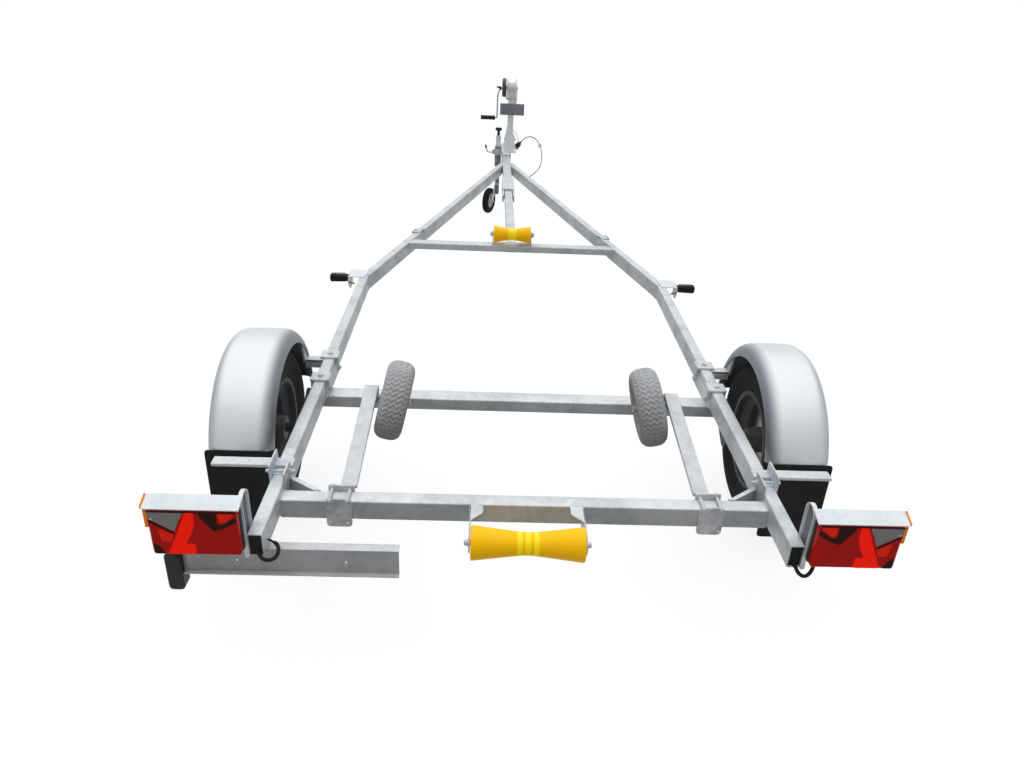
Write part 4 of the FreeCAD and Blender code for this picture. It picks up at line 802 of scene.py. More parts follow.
def rear_stays():
    """A flat bar over each rail, held by a plate and two threaded rods, and a strap to the mudflap."""
    lo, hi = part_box("rear_stay_right")
    bar_y = lo.y + 0.054
    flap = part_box("mudflap_right")
    flap_y, foot = flap[0].y, flap[1].z - 0.038
    rod_y, r = bar_y - 0.022, 0.005
    parts = [block(IN - 0.01, hi.x, bar_y, bar_y + 0.04, TOP, TOP + 0.01, 0.004, 0.0012),
             side_plate(four(lo.y, bar_y + 0.04, lo.z, hi.z), OUT, OUT + 0.005, 0.008),
             side_plate([(bar_y + 0.03, TOP), (bar_y + 0.04, TOP), (flap_y, foot + 0.008),
                         (flap_y, foot)], hi.x - 0.04, hi.x)]
    for z in (TOP + r, LOW - r):
        parts.append(rod(r, (IN - 0.024, rod_y, z), (OUT + 0.022, rod_y, z), 14))
        parts.append(nut((OUT + 0.005, rod_y, z), X, 0.016, 0.008, 0.001))
        parts.append(nut((IN - 0.004, rod_y, z), (-1, 0, 0), 0.016, 0.008, 0.001))
    parts.append(block(IN - 0.004, OUT, rod_y - 0.012, rod_y + 0.012, TOP, TOP + 0.003))
    pair("guard_stay", parts, "galvanised", "rear_stay")


def guard_section(less, lip):
    """Half the channel's outline as (x from the middle, radius): straight wall, quarter-round
    shoulder, and a top that is crowned 3 mm."""
    half, r, q = (GUARD[1].x - GUARD[0].x) / 2 - less, GUARD[1].z - WHEEL_R - less, 0.047 - less
    t = np.linspace(0, math.pi / 2, 9)
    wall = [(half - 0.0008, lip), (half, lip + 0.0012)]
    turn = np.stack([half - q + q * np.cos(t), r - q - 0.003 + q * np.sin(t)], -1)
    x = np.linspace(half - q, 0, 8)[1:]
    top = np.stack([x, r - 0.003 * (x / half) ** 2], -1)
    turn[:, 1] += 0.003 - 0.003 * ((half - q) / half) ** 2
    return np.vstack([wall, turn, top])


def mudguards():
    """The section carried round the wheel, from 5 degrees above the level of its hub in front to 17.5
    above it behind: point = centre + r (cos a Y + sin a Z)."""
    centre = np.array([middle(GUARD)[0], WHEEL_AT, WHEEL_R])
    turn = np.radians(np.linspace(5.0, 162.5, 106))

    def shell(out, inside):
        outer, inner = guard_section(out, GUARD_LIP), guard_section(inside, GUARD_LIP + 0.0004)
        outline = np.vstack([outer, outer[-2::-1] * (-1, 1), inner * (-1, 1), inner[-2::-1]])
        points = centre + outline[None, :, :1] * X + outline[None, :, 1:] * circle(turn, Y, Z)[:, None]
        return surface(points, caps=True)

    pair("guard_shell", shell(0, 0.0018), "mudguard", "mudguard", slot="guard_silver", crisp=50)
    pair("guard_lining", shell(0.002, 0.004), "black_plastic", slot="black_plastic", crisp=50)
    fixings = []
    for angle in (150.0, 45.0):
        a = math.radians(angle)
        way = np.array([0, math.cos(a), math.sin(a)])
        for x in (-0.05, 0.05):
            at = centre + (x, 0, 0) + way * (GUARD[1].z - WHEEL_R - 0.004)
            fixings.append(nut(at, -way, 0.013, 0.006, 0.006))
    pair("guard_bolts", fixings, "galvanised")


def mudflaps():
    """A plain rubber sheet with rounded corners."""
    lo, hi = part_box("mudflap_right")
    sheet = slab(oblong(lo.x, hi.x, lo.z, hi.z, 0.014, 5), (0, hi.y, 0), X, Z, hi.y - lo.y, 0.001)
    pair("flap_sheet", sheet, "black_rubber", "mudflap", slot="black_rubber")


axle_beam()
axle_brackets()
rear_stays()
mudguards()
mudflaps()


# ---- tail lamps, hoods and number-plate holder ----

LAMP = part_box("tail_lamp_right")
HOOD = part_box("lamp_bracket_right")
Y_BACK, Y_LENS = LAMP[1].y, LAMP[0].y
PANEL = 0.0012                                  # how far a panel stands out of the lens


def lamp_spot(outline):
    """A raised panel on the right lens: u runs from its outer edge inwards and v down, both 0 to 1."""
    wide, tall = LAMP[1].x - LAMP[0].x, LAMP[1].z - LAMP[0].z
    corners = [(LAMP[1].x - u * wide, LAMP[1].z - v * tall) for u, v in outline]
    return slab(rounded(corners, 0.004, 2), (0, Y_LENS + 0.001, 0), X, Z, PANEL + 0.001, 0.0004)


def tail_lamps():
    """Housing and lens; the lens's raised panels, which are a clear window, a glowing bar and glowing spots
    of painted highlight, and dark patches; an amber strip on its outer side; and a screw."""
    lo, hi = LAMP
    outline = oblong(lo.x, hi.x, lo.z, hi.z, 0.01, 5)
    house = slab(outline, (0, hi.y, 0), X, Z, 0.013, 0.002)
    pair("lamp_housing", house, "black_plastic", slot="black_plastic")
    small = inset(outline, 0.002)
    red = slab(small, (0, Y_LENS + hi.y - lo.y - 0.012, 0), X, Z, hi.y - lo.y - 0.012, 0.004)
    pair("lamp_lens", red, "lamp_red", "tail_lamp", slot="lamp_red")
    panels = {
        "window": ("lamp_clear", [[(0.02, 0.04), (0.41, 0.04), (0.35, 0.22), (0.29, 0.45), (0.02, 0.17)]]),
        # the glow and spot panels glow: painted highlights
        "glow": ("lamp_glow", [[(0.435, 0.035), (0.525, 0.035), (0.512, 0.33), (0.47, 0.5), (0.395, 0.72),
                                (0.50, 0.75), (0.49, 0.965), (0.18, 0.965), (0.31, 0.5)]]),
        "spot": ("lamp_spot", [[(0.785, 0.045), (0.96, 0.045), (0.955, 0.10), (0.85, 0.24), (0.795, 0.23)],
                               [(0.11, 0.40), (0.27, 0.53), (0.235, 0.70), (0.13, 0.68)]]),
        # dark patches painted on the lens; the last, along its top edge, is painted shade under the hood
        "fold": ("lamp_dark", [[(0.567, 0.04), (0.775, 0.04), (0.766, 0.24), (0.787, 0.29), (0.845, 0.27),
                                (0.95, 0.14), (0.985, 0.10), (0.985, 0.22), (0.805, 0.39), (0.72, 0.43),
                                (0.595, 0.14)],
                               [(0.02, 0.19), (0.285, 0.475), (0.27, 0.505), (0.02, 0.25)],
                               [(0.03, 0.72), (0.10, 0.80), (0.15, 0.965), (0.03, 0.965)],
                               [(0.01, 0.004), (0.99, 0.004), (0.99, 0.03), (0.01, 0.03)]])}
    for name, (material, outlines) in panels.items():
        shapes = [lamp_spot(corners) for corners in outlines]
        pair("lamp_" + name, shapes, material, slot="lamp_red")
    z = lo.z + 0.1
    amber = block(hi.x - 0.001, hi.x + 0.008, Y_LENS + 0.004, Y_BACK - 0.006, z - 0.018, z + 0.036, 0.003,
                  0.002)
    screw = lathe([(-0.001, 0), (-0.001, 0.0036), (0.0008, 0.0036), (0.0016, 0.003), (0.0016, 0)],
                  (hi.x - 0.012, Y_LENS - 0.0002, hi.z - 0.025), -Y, 18)
    pair("lamp_screw", screw, "zinc")
    pair("lamp_amber", amber, "amber", slot="lamp_red")


def lamp_brackets():
    """Each hood is a sloping sheet on a back plate, carried by an upright pressed channel."""
    lo, hi = HOOD
    t, x0, x1 = 0.003, OUT, OUT + 0.012
    y0, y1 = Y_BACK + t, hi.y
    top, r = hi.z - 0.001, (y1 - y0) / 2
    turn = np.linspace(0, math.pi, 13)
    outline = np.vstack([[(y0, lo.z), (y1, lo.z)],
                         np.stack([y0 + r + r * np.cos(turn), top - r + r * np.sin(turn)], -1)])
    outline = finer(outline, 0.02)
    small = inset(outline, t)
    rows = [(small, x1 - t), (small, x0), (outline, x0), (outline, x1 - 0.001), (inset(outline, 0.001), x1)]
    points = [np.insert(section, 0, x, axis=1) for section, x in rows]
    post = surface(np.array(points), caps=True)
    lip, fold, high = lo.y, lo.y + 0.044, hi.z
    low = high - 0.015
    hood = side_plate([(lip, low - t), (lip, low), (fold, high), (fold, high - t)], lo.x, hi.x, 0.0008,
                      0.0005)
    roll = rod(t * 0.6, (lo.x, lip + 0.001, low - t * 0.5), (hi.x, lip + 0.001, low - t * 0.5), 10, 0.0005)
    back = block(x1 - t, LAMP[1].x - 0.006, Y_BACK, Y_BACK + t, LAMP[0].z + 0.02, low + 0.01)
    foot = block(x0, x1, y0, y1, lo.z, lo.z + t)
    bolts = [nut((x1, y0 + r, z), X, 0.013, 0.007, 0.004) for z in (MID_Z - 0.022, MID_Z + 0.022)]
    # a dark sheet of painted shade in the channel's recess
    painted_recess_shade = side_plate(inset(small, 0.0005), x1 - t - 0.001, x1 - t + 0.0005)
    pair("channel_recess", painted_recess_shade, "painted_recess_shade")
    amber = side_plate([(lip + 0.004, low - 0.004), (lip + 0.004, low + 0.003),
                        (fold - 0.002, high + 0.002), (fold - 0.002, high - 0.005)], hi.x + 0.0002,
                       hi.x + 0.0052, 0.001)
    pair("amber_edge", amber, "amber", slot="lamp_red")
    pair("lamp_hood", [post, hood, roll, back, foot] + bolts, "bright_zinc", "lamp_bracket")


def plate_holder():
    """Skins over the holder's top flange and lower lip, hollow rivets in its two holes, and end block."""
    lo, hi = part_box("plate_holder")
    y, z_top = lo.y + 0.012, LOW - 0.007
    trim = [block(lo.x, hi.x, y - 0.0005, y + 0.03, z_top - 0.0005, z_top + 0.0008),
            block(lo.x, hi.x, y - 0.0128, y + 0.001, lo.z + 0.002, lo.z + 0.0038),
            block(lo.x, hi.x, y - 0.0128, y - 0.0115, lo.z, lo.z + 0.0038)]
    for side in (-1, 1):
        at = ((lo.x + hi.x) / 2 + side * 0.145, y, z_top - 0.048)
        trim.append(lathe([(0.0005, 0.0031), (0.0022, 0.004), (0.0022, 0.0058), (0, 0.0068),
                           (-0.001, 0.0068), (-0.001, 0.0031)], at, -Y, 24, closed=True))
    new_piece("plate_trim", trim, "zinc")
    lo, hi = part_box("plate_end_block")
    outline = oblong(lo.x - 0.009, hi.x, lo.z, hi.z, 0.015, 6)
    new_piece("end_block", slab(outline, (0, hi.y, 0), X, Z, hi.y - lo.y, 0.0045), "black_plastic",
              "plate_end_block", slot="black_rubber")


tail_lamps()
lamp_brackets()
plate_holder()


# ---- keel rollers ----

def keel_roller(name, node, body, sides):
    """Two many-sided cones that run to a narrow waist, and flush bands of painted highlight round the waist.
    A side's flats come from r = R cos(pi/n) / cos(angle to the middle of its flat), cut to 30 percent."""
    lo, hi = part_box(node)
    h, end = hi.x, (hi.z - lo.z) / 2
    waist, neck, band = end * 0.65, h * 0.085, 0.0072
    centre = middle((lo, hi)) * (0, 1, 1)
    t = around(sides * 6)
    flat = np.mod(t, 2 * math.pi / sides) - math.pi / sides
    facet = 1 - 0.3 * (1 - math.cos(math.pi / sides) / np.cos(flat))

    def skin(x):
        return waist + (end - waist) * np.maximum(0, (np.abs(x) - neck) / (h - neck)) ** 1.05

    def turned(rows):
        rows = np.array(rows)
        shaped = np.where(rows[:, 1:] > end * 0.6, facet, 1.0) * rows[:, 1:]
        return surface(spun(rows[:, :1], shaped, len(t), centre, X, Y, Z), close_u=True)

    cone = np.linspace(neck, h - 0.004, 15)
    right = [(neck * 0.8, waist - 0.0004), *zip(cone, skin(cone)), (h - 0.0015, end - 0.001),
             (h, end - 0.004), (h, end * 0.62), (h - 0.006, end * 0.58), (h - 0.006, 0.017), (h, 0.015),
             (h, 0.0085)]
    profile = [*((-x, r) for x, r in right[::-1]), (0, waist - 0.0006), *right]
    new_piece(name, turned(profile), "yellow", node, slot="roller_yellow", body=body, crisp=50)
    # the waist bands are painted highlights in a brighter yellow that glows
    bands = []
    for x in (-0.145 * h, 0, 0.145 * h):
        a = np.linspace(x - band, x + band, 5)
        r = skin(a)
        bands.append(turned([(a[0], r[0] - 0.004), *zip(a, r + 0.0004), (a[-1], r[-1] - 0.004)]))
    new_piece(name + "_highlight_bands", bands, "yellow_painted_highlight", slot="roller_yellow", body=body, crisp=50)


keel_roller("stern_roller", "rear_keel_roller", "rear_roller", 20)
keel_roller("bow_roller", "front_keel_roller", "front_roller", 16)


# ---- road wheels ----

RIM_R = 0.165


def pulse(value, centre, half, soft):
    """1 within `half` of the centre, falling to 0 over `soft`."""
    return np.clip((half + soft - np.abs(value - centre)) / soft, 0, 1)


def road_tyre():
    """Rounded side walls with two rings; the tread's radius is lowered along three zigzag grooves and,
    on the shoulders, across 72 slots: r = R - 0.007 min(1, groove(x, t) + slot(x, t))."""
    h, rim, slots = 0.0775, RIM_R, 72
    side = [(-0.053, rim), (-0.061, rim + 0.004), (-0.0615, rim + 0.014), (-0.068, rim + 0.03),
            (-0.0722, rim + 0.045), (-0.0735, rim + 0.047), (-0.0735, rim + 0.052), (-0.0722, rim + 0.054),
            (-h, rim + 0.07), (-0.0772, rim + 0.085), (-0.0755, rim + 0.087), (-0.074, rim + 0.093),
            (-0.0675, WHEEL_R - 0.022), (-0.061, WHEEL_R - 0.010)]
    tread = np.linspace(-0.0535, 0.0535, 57)
    arc = WHEEL_R - 0.5 * tread ** 2 / 0.36
    profile = np.array(both_ends(side, zip(tread, arc)))
    t = around(slots * 6)
    a, r = profile[:, :1], profile[:, 1:]
    wander = 0.0022 * np.sin(slots * t) ** 3
    groove = sum(pulse(a, centre + wander, 0.0022, 0.0016) for centre in (-0.022, 0, 0.022))
    slot = pulse(np.mod(t * slots / (2 * math.pi) + 8 * np.abs(a), 1.0), 0.5, 0.09, 0.07)
    slot = slot * pulse(np.abs(a), 0.052, 0.018, 0.003)
    r = r - 0.007 * np.clip(groove + slot, 0, 1) * (r > WHEEL_R - 0.006)
    return surface(spun(a, r, len(t), WHEEL_CENTRE, X, Z, Y), close_u=True)


def slotted_disc(r0, r1, count, hole, x_at, thick, wheel):
    """A dished ring of `count` sectors, each a loop from its edge in to a rounded slot and back."""
    sectors = []
    half = math.pi / count
    u = np.linspace(-1, 1, 9)[:-1]
    square = np.vstack([np.stack([u, -np.ones(8)], -1), np.stack([np.ones(8), u], -1),
                        np.stack([-u, np.ones(8)], -1), np.stack([-np.ones(8), -u], -1)])
    angle = np.arctan2(square[:, 1], square[:, 0])
    small = np.stack([np.cos(angle), np.sin(angle)], -1) * hole
    for k in range(count):
        rows = []
        for shape, level in ((square, 0), (small, 0), (small, -thick), (square, -thick)):
            turn = (2 * k + 1 + shape[:, 0]) * half
            radius = (r0 + r1) / 2 + shape[:, 1] * (r1 - r0) / 2
            along = x_at(radius) + level
            rows.append(wheel + along[:, None] * X + radius[:, None] * circle(turn, Z, Y))
        sectors.append(surface(np.array(rows), close_u=True))
    return merged(sectors)


def road_rims():
    """Rolled rim, dished disc with ten slots, hub with its cap, and four wheel bolts."""
    centre = WHEEL_CENTRE
    rim, well, seat, out = RIM_R, 0.14, 0.061, 0.03
    barrel = lathe([(-seat - 0.001, rim + 0.012), (-seat - 0.002, rim + 0.004),
                    (-seat - 0.001, rim - 0.004), (-seat + 0.022, rim - 0.005), (-0.018, well - 0.003),
                    (0.016, well - 0.003), (seat - 0.016, rim - 0.005), (seat + 0.001, rim - 0.004),
                    (seat + 0.002, rim + 0.004), (seat + 0.001, rim + 0.012), (seat - 0.003, rim + 0.011),
                    (seat - 0.007, rim), (seat - 0.014, rim - 0.001), (0.016, well), (-0.018, well),
                    (-seat + 0.02, rim - 0.001), (-seat + 0.007, rim), (-seat + 0.003, rim + 0.011)],
                   centre, X, 72, closed=True)
    disc = slotted_disc(0.092, 0.132, 10, (0.62, 0.5), lambda r: 0.042 - 0.9 * (r - 0.088) ** 1.2, 0.004,
                        centre)
    hat = lathe([(out, 0.03), (out, 0.068), (out + 0.012, 0.088), (0.042, 0.0925), (0.038, 0.0925),
                 (out + 0.007, 0.088), (out - 0.005, 0.07), (out - 0.005, 0.03)], centre, X, 60,
                closed=True)
    edge = 0.042 - 0.9 * 0.044 ** 1.2
    foot = lathe([(edge, 0.1318), (edge - 0.008, well - 0.001), (edge - 0.016, well - 0.001),
                  (edge - 0.012, well - 0.0045), (edge - 0.005, 0.1318)], centre, X, 60, closed=True)
    hub = lathe([(out - 0.095, 0), (out - 0.095, 0.042), (out - 0.03, 0.048), (out - 0.018, 0.064),
                 (out - 0.005, 0.064), (out - 0.005, 0.031), (out + 0.02, 0.031), (out + 0.026, 0.027),
                 (out + 0.03, 0.012), (out + 0.03, 0)], centre, X, 40)
    bolts = []
    for k in range(4):
        turn = math.radians(45 + 90 * k)
        at = centre + X * out + 0.05 * (math.cos(turn) * Z + math.sin(turn) * Y)
        bolts.append(nut(at, X, 0.019, 0.013, 0.002))
    return [barrel, disc, hat, foot, hub] + bolts


pair("road_tyre", road_tyre(), "tyre", "tyre", slot="tyre_rubber", body="wheel", crisp=45)
pair("road_rim", road_rims(), "rim", "rim", slot="rim_silver", body="wheel")


# ---- support wheels ----

LEAN = math.radians(13.0)
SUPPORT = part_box("support_tyre_right")
SUPPORT_AT = middle(SUPPORT)
SUPPORT_RIM, SUPPORT_HALF = 0.066, 0.046
SUPPORT_AXIS = np.array([math.cos(LEAN), 0, math.sin(LEAN)])


def support_tyre():
    """Rounded section; 46 rows run across it in waves: lift = 0.0032 ((1 + sin(46 t + 1.9 tri)) / 2) ^ 1.6,
    where tri is a triangle wave with four and a half periods over the width."""
    rim, h, r_out, rows = SUPPORT_RIM, SUPPORT_HALF, 0.133, 46
    side = [(-h + 0.012, rim), (-h + 0.004, rim + 0.007), (-h + 0.002, rim + 0.014),
            (-h + 0.0035, rim + 0.018), (-h + 0.001, rim + 0.022), (-h + 0.0015, rim + 0.027),
            (-h, rim + 0.031), (-h, rim + 0.038), (-h + 0.002, r_out - 0.022), (-h + 0.0045, r_out - 0.015)]
    a = np.linspace(-h + 0.008, h - 0.008, 56)
    r = r_out - 0.0022 - 0.011 * np.abs(a / (h - 0.008)) ** 3.2
    profile = np.array(both_ends(side, zip(a, r)))
    t = around(rows * 8)
    along = profile[:, :1]
    tri = np.abs(np.mod(along / (2 * h) * 4.5, 1.0) - 0.5) * 4 - 1
    lift = 0.0032 * ((1 + np.sin(rows * t + 1.9 * tri)) / 2) ** 1.6
    on_tread = np.zeros(len(profile))
    on_tread[len(side):-len(side)] = np.clip(1.12 - np.abs(a / (h - 0.006)) ** 8, 0, 1)
    radius = profile[:, 1:] + lift * on_tread[:, None]
    shape = spun(along, radius, len(t), SUPPORT_AT, SUPPORT_AXIS, *across(SUPPORT_AXIS))
    return surface(shape, close_u=True)


def support_hub():
    """A moulded hub: dished faces with six ribs on each side."""
    h, rim = SUPPORT_HALF, SUPPORT_RIM
    shell = lathe([(-h + 0.006, 0.0105), (-h + 0.006, 0.020), (-0.008, 0.023), (-0.006, rim - 0.010),
                   (-h + 0.014, rim - 0.005), (-h + 0.011, rim + 0.001), (h - 0.011, rim + 0.001),
                   (h - 0.014, rim - 0.005), (0.006, rim - 0.010), (0.008, 0.023), (h - 0.006, 0.020),
                   (h - 0.006, 0.0105)], SUPPORT_AT, SUPPORT_AXIS, 48, closed=True)
    e1, e2 = across(SUPPORT_AXIS)
    ribs = []
    for k in range(6):
        turn = k * math.pi / 3
        way = math.cos(turn) * e1 + math.sin(turn) * e2
        origin = SUPPORT_AT + way * 0.018
        outline = [(0, -0.036), (0.041, -0.030), (0.041, 0.030), (0, 0.036)]
        ribs.append(slab(outline, origin + np.cross(way, SUPPORT_AXIS) * 0.0015, way, SUPPORT_AXIS, 0.003,
                         0.0005))
    return [shell] + ribs


def support_arms():
    """A sloping bar with the wheel's lug and stub, two clamp plates on the rear cross member, and the
    four bolts through them, two over the tube and two under it."""
    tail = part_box("rear_cross_member")[0]
    t, low, top, y0, y1 = 0.006, tail.z, TOP - 0.02, tail.y, tail.y + TAIL_DEEP
    x0, x1, far = 0.4825, 0.5275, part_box("support_arm_right")[1].y
    z0, z1, near = TOP - 0.004, SUPPORT_AT[2] + 0.04, y1 + t
    bar = side_plate([(near, z0 - 0.012), (near, z0), (far - 0.006, z1), (far, z1 - 0.005),
                      (far, z1 - 0.012)], x0, x1, 0.003, 0.0012)
    away = (x0 - SUPPORT_AT[0]) / math.cos(LEAN)
    hub_z = SUPPORT_AT[2] + away * math.sin(LEAN)
    lug = by(SUPPORT_AT[1], hub_z, (-0.022, 0.016), (-0.018, -0.018), (0.018, -0.018)) + [(far, z1 - 0.006)]
    tip = SUPPORT_AT - SUPPORT_AXIS * 0.044
    parts = [bar, side_plate(lug, x0, x1, 0.006),
             rod(0.010, tip, SUPPORT_AT + SUPPORT_AXIS * (away + 0.016), 20),
             nut(tip, -SUPPORT_AXIS, 0.019, 0.008, 0.002)]
    mid_x = 0.526
    holes = [(mid_x + dx, z) for dx in (-0.025, 0.025) for z in (top + 0.0065, low - 0.0075)]
    parts += [rod(0.005, (x, y0 - t - 0.009, z), (x, y1 + t + 0.009, z), 14) for x, z in holes]
    for x, z in holes:
        parts.append(nut((x, y0 - t, z), -Y, 0.011, 0.004, 0, washer=False))
        parts.append(nut((x, y1 + t, z), Y, 0.016, 0.008, 0.003))
    pair("support_bar", parts, "zinc", "support_arm")
    rear = four(mid_x - 0.036, mid_x + 0.036, low - 0.022, TOP - 0.01)
    front = four(mid_x - 0.037, mid_x + 0.037, low - 0.018, TOP - 0.002)
    plates = [end_plate(rear, y0 - t, y0, 0.014, 0.0012), end_plate(front, y1, y1 + t, 0.006, 0.0012)]
    pair("support_clamp", plates, "arm_galvanised")


pair("support_tyre_tread", support_tyre(), "grey_rubber", "support_tyre", slot="grey_rubber",
     body="support_wheel", crisp=50)
pair("support_hub", support_hub(), "grey_plastic", "support_rim", slot="grey_plastic", body="support_wheel")
support_arms()


# ---- routes of the cords ----

def in_metres(points):
    """Places from (X, millimetres forward of the rails' rear ends, Z) in millimetres."""
    return np.array(points) / 1000 + (0, REAR, 0)


TAG_PLACE = 0.44                                # of the light cable's way from the plug
CABLE_POINTS = [(112, 4850, 553), (132, 4849, 576), (160, 4838, 596), (196, 4802, 604),
                (227, 4752, 596), (250, 4690, 576), (263, 4616, 545), (266, 4536, 509),
                (258, 4454, 477), (240, 4376, 457), (216, 4304, 446), (189, 4236, 440),
                (162, 4172, 437)]
RIGHT_LAMP_POINTS = [(708, 30, 398), (708, 13, 396), (711, -3, 388), (718, -12, 374), (731, -13, 362),
                     (747, -7, 356), (761, 3, 360), (770, 13, 372), (774, 19, 388), (775, 16, 405),
                     (775, 0, 419)]
LEFT_LAMP_POINTS = [(-708, 30, 398), (-708, 13, 396), (-703, -3, 391), (-692, -15, 385),
                    (-676, -18, 381), (-661, -9, 381), (-655, 8, 386), (-658, 25, 393),
                    (-670, 36, 399), (-687.9, 40, 404)]


# ---- winch post, bow stop and winch ----

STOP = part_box("bow_stop")
POST_X, POST_Y = middle(STOP)[0], STOP[1].y + 0.0225
FOOT_Z = TOP + 0.026


def winch_post():
    """A square post between two tapered cheeks and a back plate, on a foot with two legs down the
    towing bar, with through bolts, gussets and welds; and the wire that holds the plug's socket."""
    lo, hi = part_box("winch_post")
    half, t, wide, box_top, floor = 0.0225, 0.006, 0.04, 0.6, FOOT_Z + 0.008
    x, y, y0, y1, tall = POST_X, POST_Y, POST_Y - half, POST_Y + half, box_top - floor
    tube = tube_bar(0.045, 0.045, WALL, 0.005, (x, y, floor), (x, y, hi.z), Y)
    parts = [block(-0.035, 0.076, y - 0.042, y + 0.042, FOOT_Z, floor, 0.008, 0.0012)]
    for x0, inner in ((lo.x, lo.x + t), (0.03, 0.03)):
        parts.append(block(x0, x0 + t, y - 0.042, y + 0.042, lo.z, FOOT_Z, 0.003))
        parts.append(weld([(inner, y - 0.04, FOOT_Z - 0.001), (inner, y + 0.04, FOOT_Z - 0.001)], 0.002))
    cheek = [(y0 - 0.016, floor), (y1 + 0.016, floor), (y1 + 0.004, box_top), (y0 - 0.004, box_top)]
    parts += [side_plate(cheek, x - wide, x - wide + t, 0.004),
              side_plate(cheek, x + wide - t, x + wide, 0.004),
              slab(oblong(-wide, wide, 0, tall, 0.004), (x, y0 - 0.0105, floor), X,
                   unit((0, 0.012, tall)), 0.0055)]
    for dx in (-wide + t, wide - t):
        parts.append(weld([(x + dx, y0 - 0.015, floor + 0.002), (x + dx, y0 - 0.004, box_top - 0.003)],
                          0.0022))
    for z in (floor + 0.026, box_top - 0.024):
        parts += side_nuts(x, wide, y, z, 0.016, 0.0065, 0.002)
    left, right, foot = x - half, x + half, box_top - 0.02
    for gusset in ([(left - 0.018, foot), (left, foot), (left, box_top + 0.085)],
                   [(right, foot), (right + 0.018, foot), (right, box_top + 0.035)]):
        parts.append(end_plate(gusset, y - 0.012, y - 0.006, 0.003))
    places = [(0, 0.645), (0.02, 0.628), (0.042, 0.585), (0.05, 0.548)]
    wire = pipe(bent([(right + a, y, z) for a, z in places], 0.03), 0.0022, 10)
    new_piece("post_tube", tube, "painted_light_post_zinc", "winch_post")
    new_piece("post_bracket", parts, "painted_light_post_zinc")
    new_piece("plug_hanger", wire, "sleeve")


def cable_plug():
    """The light cable's ribbed plug in its round socket, both on the line of the cable's end."""
    tip, ahead = in_metres(CABLE_POINTS[:2])
    way = unit(tip - ahead)
    socket = lathe([(0.048, 0), (0.048, 0.0215), (0.051, 0.0225), (0.0635, 0.0225), (0.066, 0.0205),
                    (0.066, 0)], tip, way, 32)
    new_piece("plug_socket", socket, "grey_plastic")
    plug = lathe([(0, 0.0042), (0, 0.0065), (0.006, 0.0082), (0.012, 0.0105), (0.017, 0.0165),
                  (0.021, 0.020), (0.026, 0.0205), (0.028, 0.019), (0.031, 0.019), (0.033, 0.0205),
                  (0.038, 0.0205), (0.040, 0.019), (0.043, 0.019), (0.045, 0.0205), (0.052, 0.0205),
                  (0.052, 0.0042)], tip, way, 36, closed=True)
    new_piece("cable_plug_body", plug, "black_plastic", "cable_plug", slot="black_plastic")


def bow_stop():
    """A moulded rubber block with rounded edges and eleven shallow level grooves in its face."""
    lo, hi = STOP
    ends = np.linspace(lo.z, hi.z, 89)
    face = np.minimum(np.abs(np.mod((ends - lo.z) / (hi.z - lo.z) * 12 + 0.5, 1.0) - 0.5) * 8, 1.0)
    edge = np.clip(np.minimum(ends - lo.z, hi.z - ends) / 0.004, 0, 1)
    depth = (hi.y - lo.y) - 0.0015 * (1 - face) * (edge > 0.9) - 0.0035 * (1 - np.sqrt(1 - (1 - edge) ** 2))
    wide = (hi.x - lo.x) / 2 - 0.0035 * (1 - np.sqrt(1 - (1 - edge) ** 2))
    rows = []
    for z, d, w in zip(ends, depth, wide):
        ring = oblong(-w, w, hi.y - d, hi.y, 0.005, 4) + (POST_X, 0) + (0.009, 0)
        rows.append(np.insert(ring, 2, z, axis=1))
    new_piece("bow_pad", surface(np.array(rows), caps=True), "stop_rubber", "bow_stop",
              slot="stop_rubber", crisp=40)
    clip = [block(POST_X - 0.034, POST_X + 0.034, POST_Y + 0.0225, POST_Y + 0.0265, 0.785, 0.825, 0.003)]
    for way in (-1, 1):
        clip.append(rod(0.004, (POST_X + way * 0.0275, hi.y - 0.001, 0.805),
                        (POST_X + way * 0.0275, POST_Y + 0.034, 0.805), 12))
        clip.append(nut((POST_X + way * 0.0275, POST_Y + 0.0265, 0.805), Y, 0.013, 0.006, 0))
    new_piece("stop_clamp", clip, "zinc")


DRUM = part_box("winch_drum")
DRUM_Z, DRUM_R, DRUM_W = middle(DRUM)[2], (DRUM[1].z - DRUM[0].z) / 2, 0.068
DRUM_AT = np.array((POST_X - 0.033, POST_Y, DRUM_Z))        # left end of the wound part, on its axis
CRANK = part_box("winch_crank")
CRANK_Y, CRANK_Z = middle(CRANK)[1], DRUM_Z - 0.011
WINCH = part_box("winch_frame")
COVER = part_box("gear_cover")


def winch_frame():
    """Two side plates, a base, and a rear cross plate, with the drum's and the base's nuts."""
    (x0, _, low), x1 = WINCH[0], WINCH[1].x
    p, right = 0.004, DRUM_AT[0] + DRUM_W + 0.005
    side = [(POST_Y - 0.036, low), (POST_Y + 0.084, low), (CRANK_Y + 0.018, CRANK_Z + 0.01),
            (CRANK_Y - 0.006, CRANK_Z + 0.02), (POST_Y + 0.014, DRUM_Z + 0.016),
            (POST_Y - 0.014, DRUM_Z + 0.016), (POST_Y - 0.022, DRUM_Z)]
    cross = [(x0 + p, low), (right, low), (right - 0.012, DRUM_Z - 0.027), (x0 + p + 0.012, DRUM_Z - 0.027)]
    new_piece("winch_plates", [
        side_plate(side, x0, x0 + p, 0.006), side_plate(side, right, right + p, 0.006),
        block(x0, x1, POST_Y - 0.036, POST_Y + 0.084, low, low + 0.006, 0.003),
        end_plate(cross, POST_Y - 0.036, POST_Y - 0.032, 0.004),
        nut((POST_X - 0.004, POST_Y - 0.036, low + 0.023), -Y, 0.017, 0.006, 0.002),
        nut((x1, POST_Y, DRUM_Z), X, 0.017, 0.005, 0)], "painted_light_winch_zinc", "winch_frame")


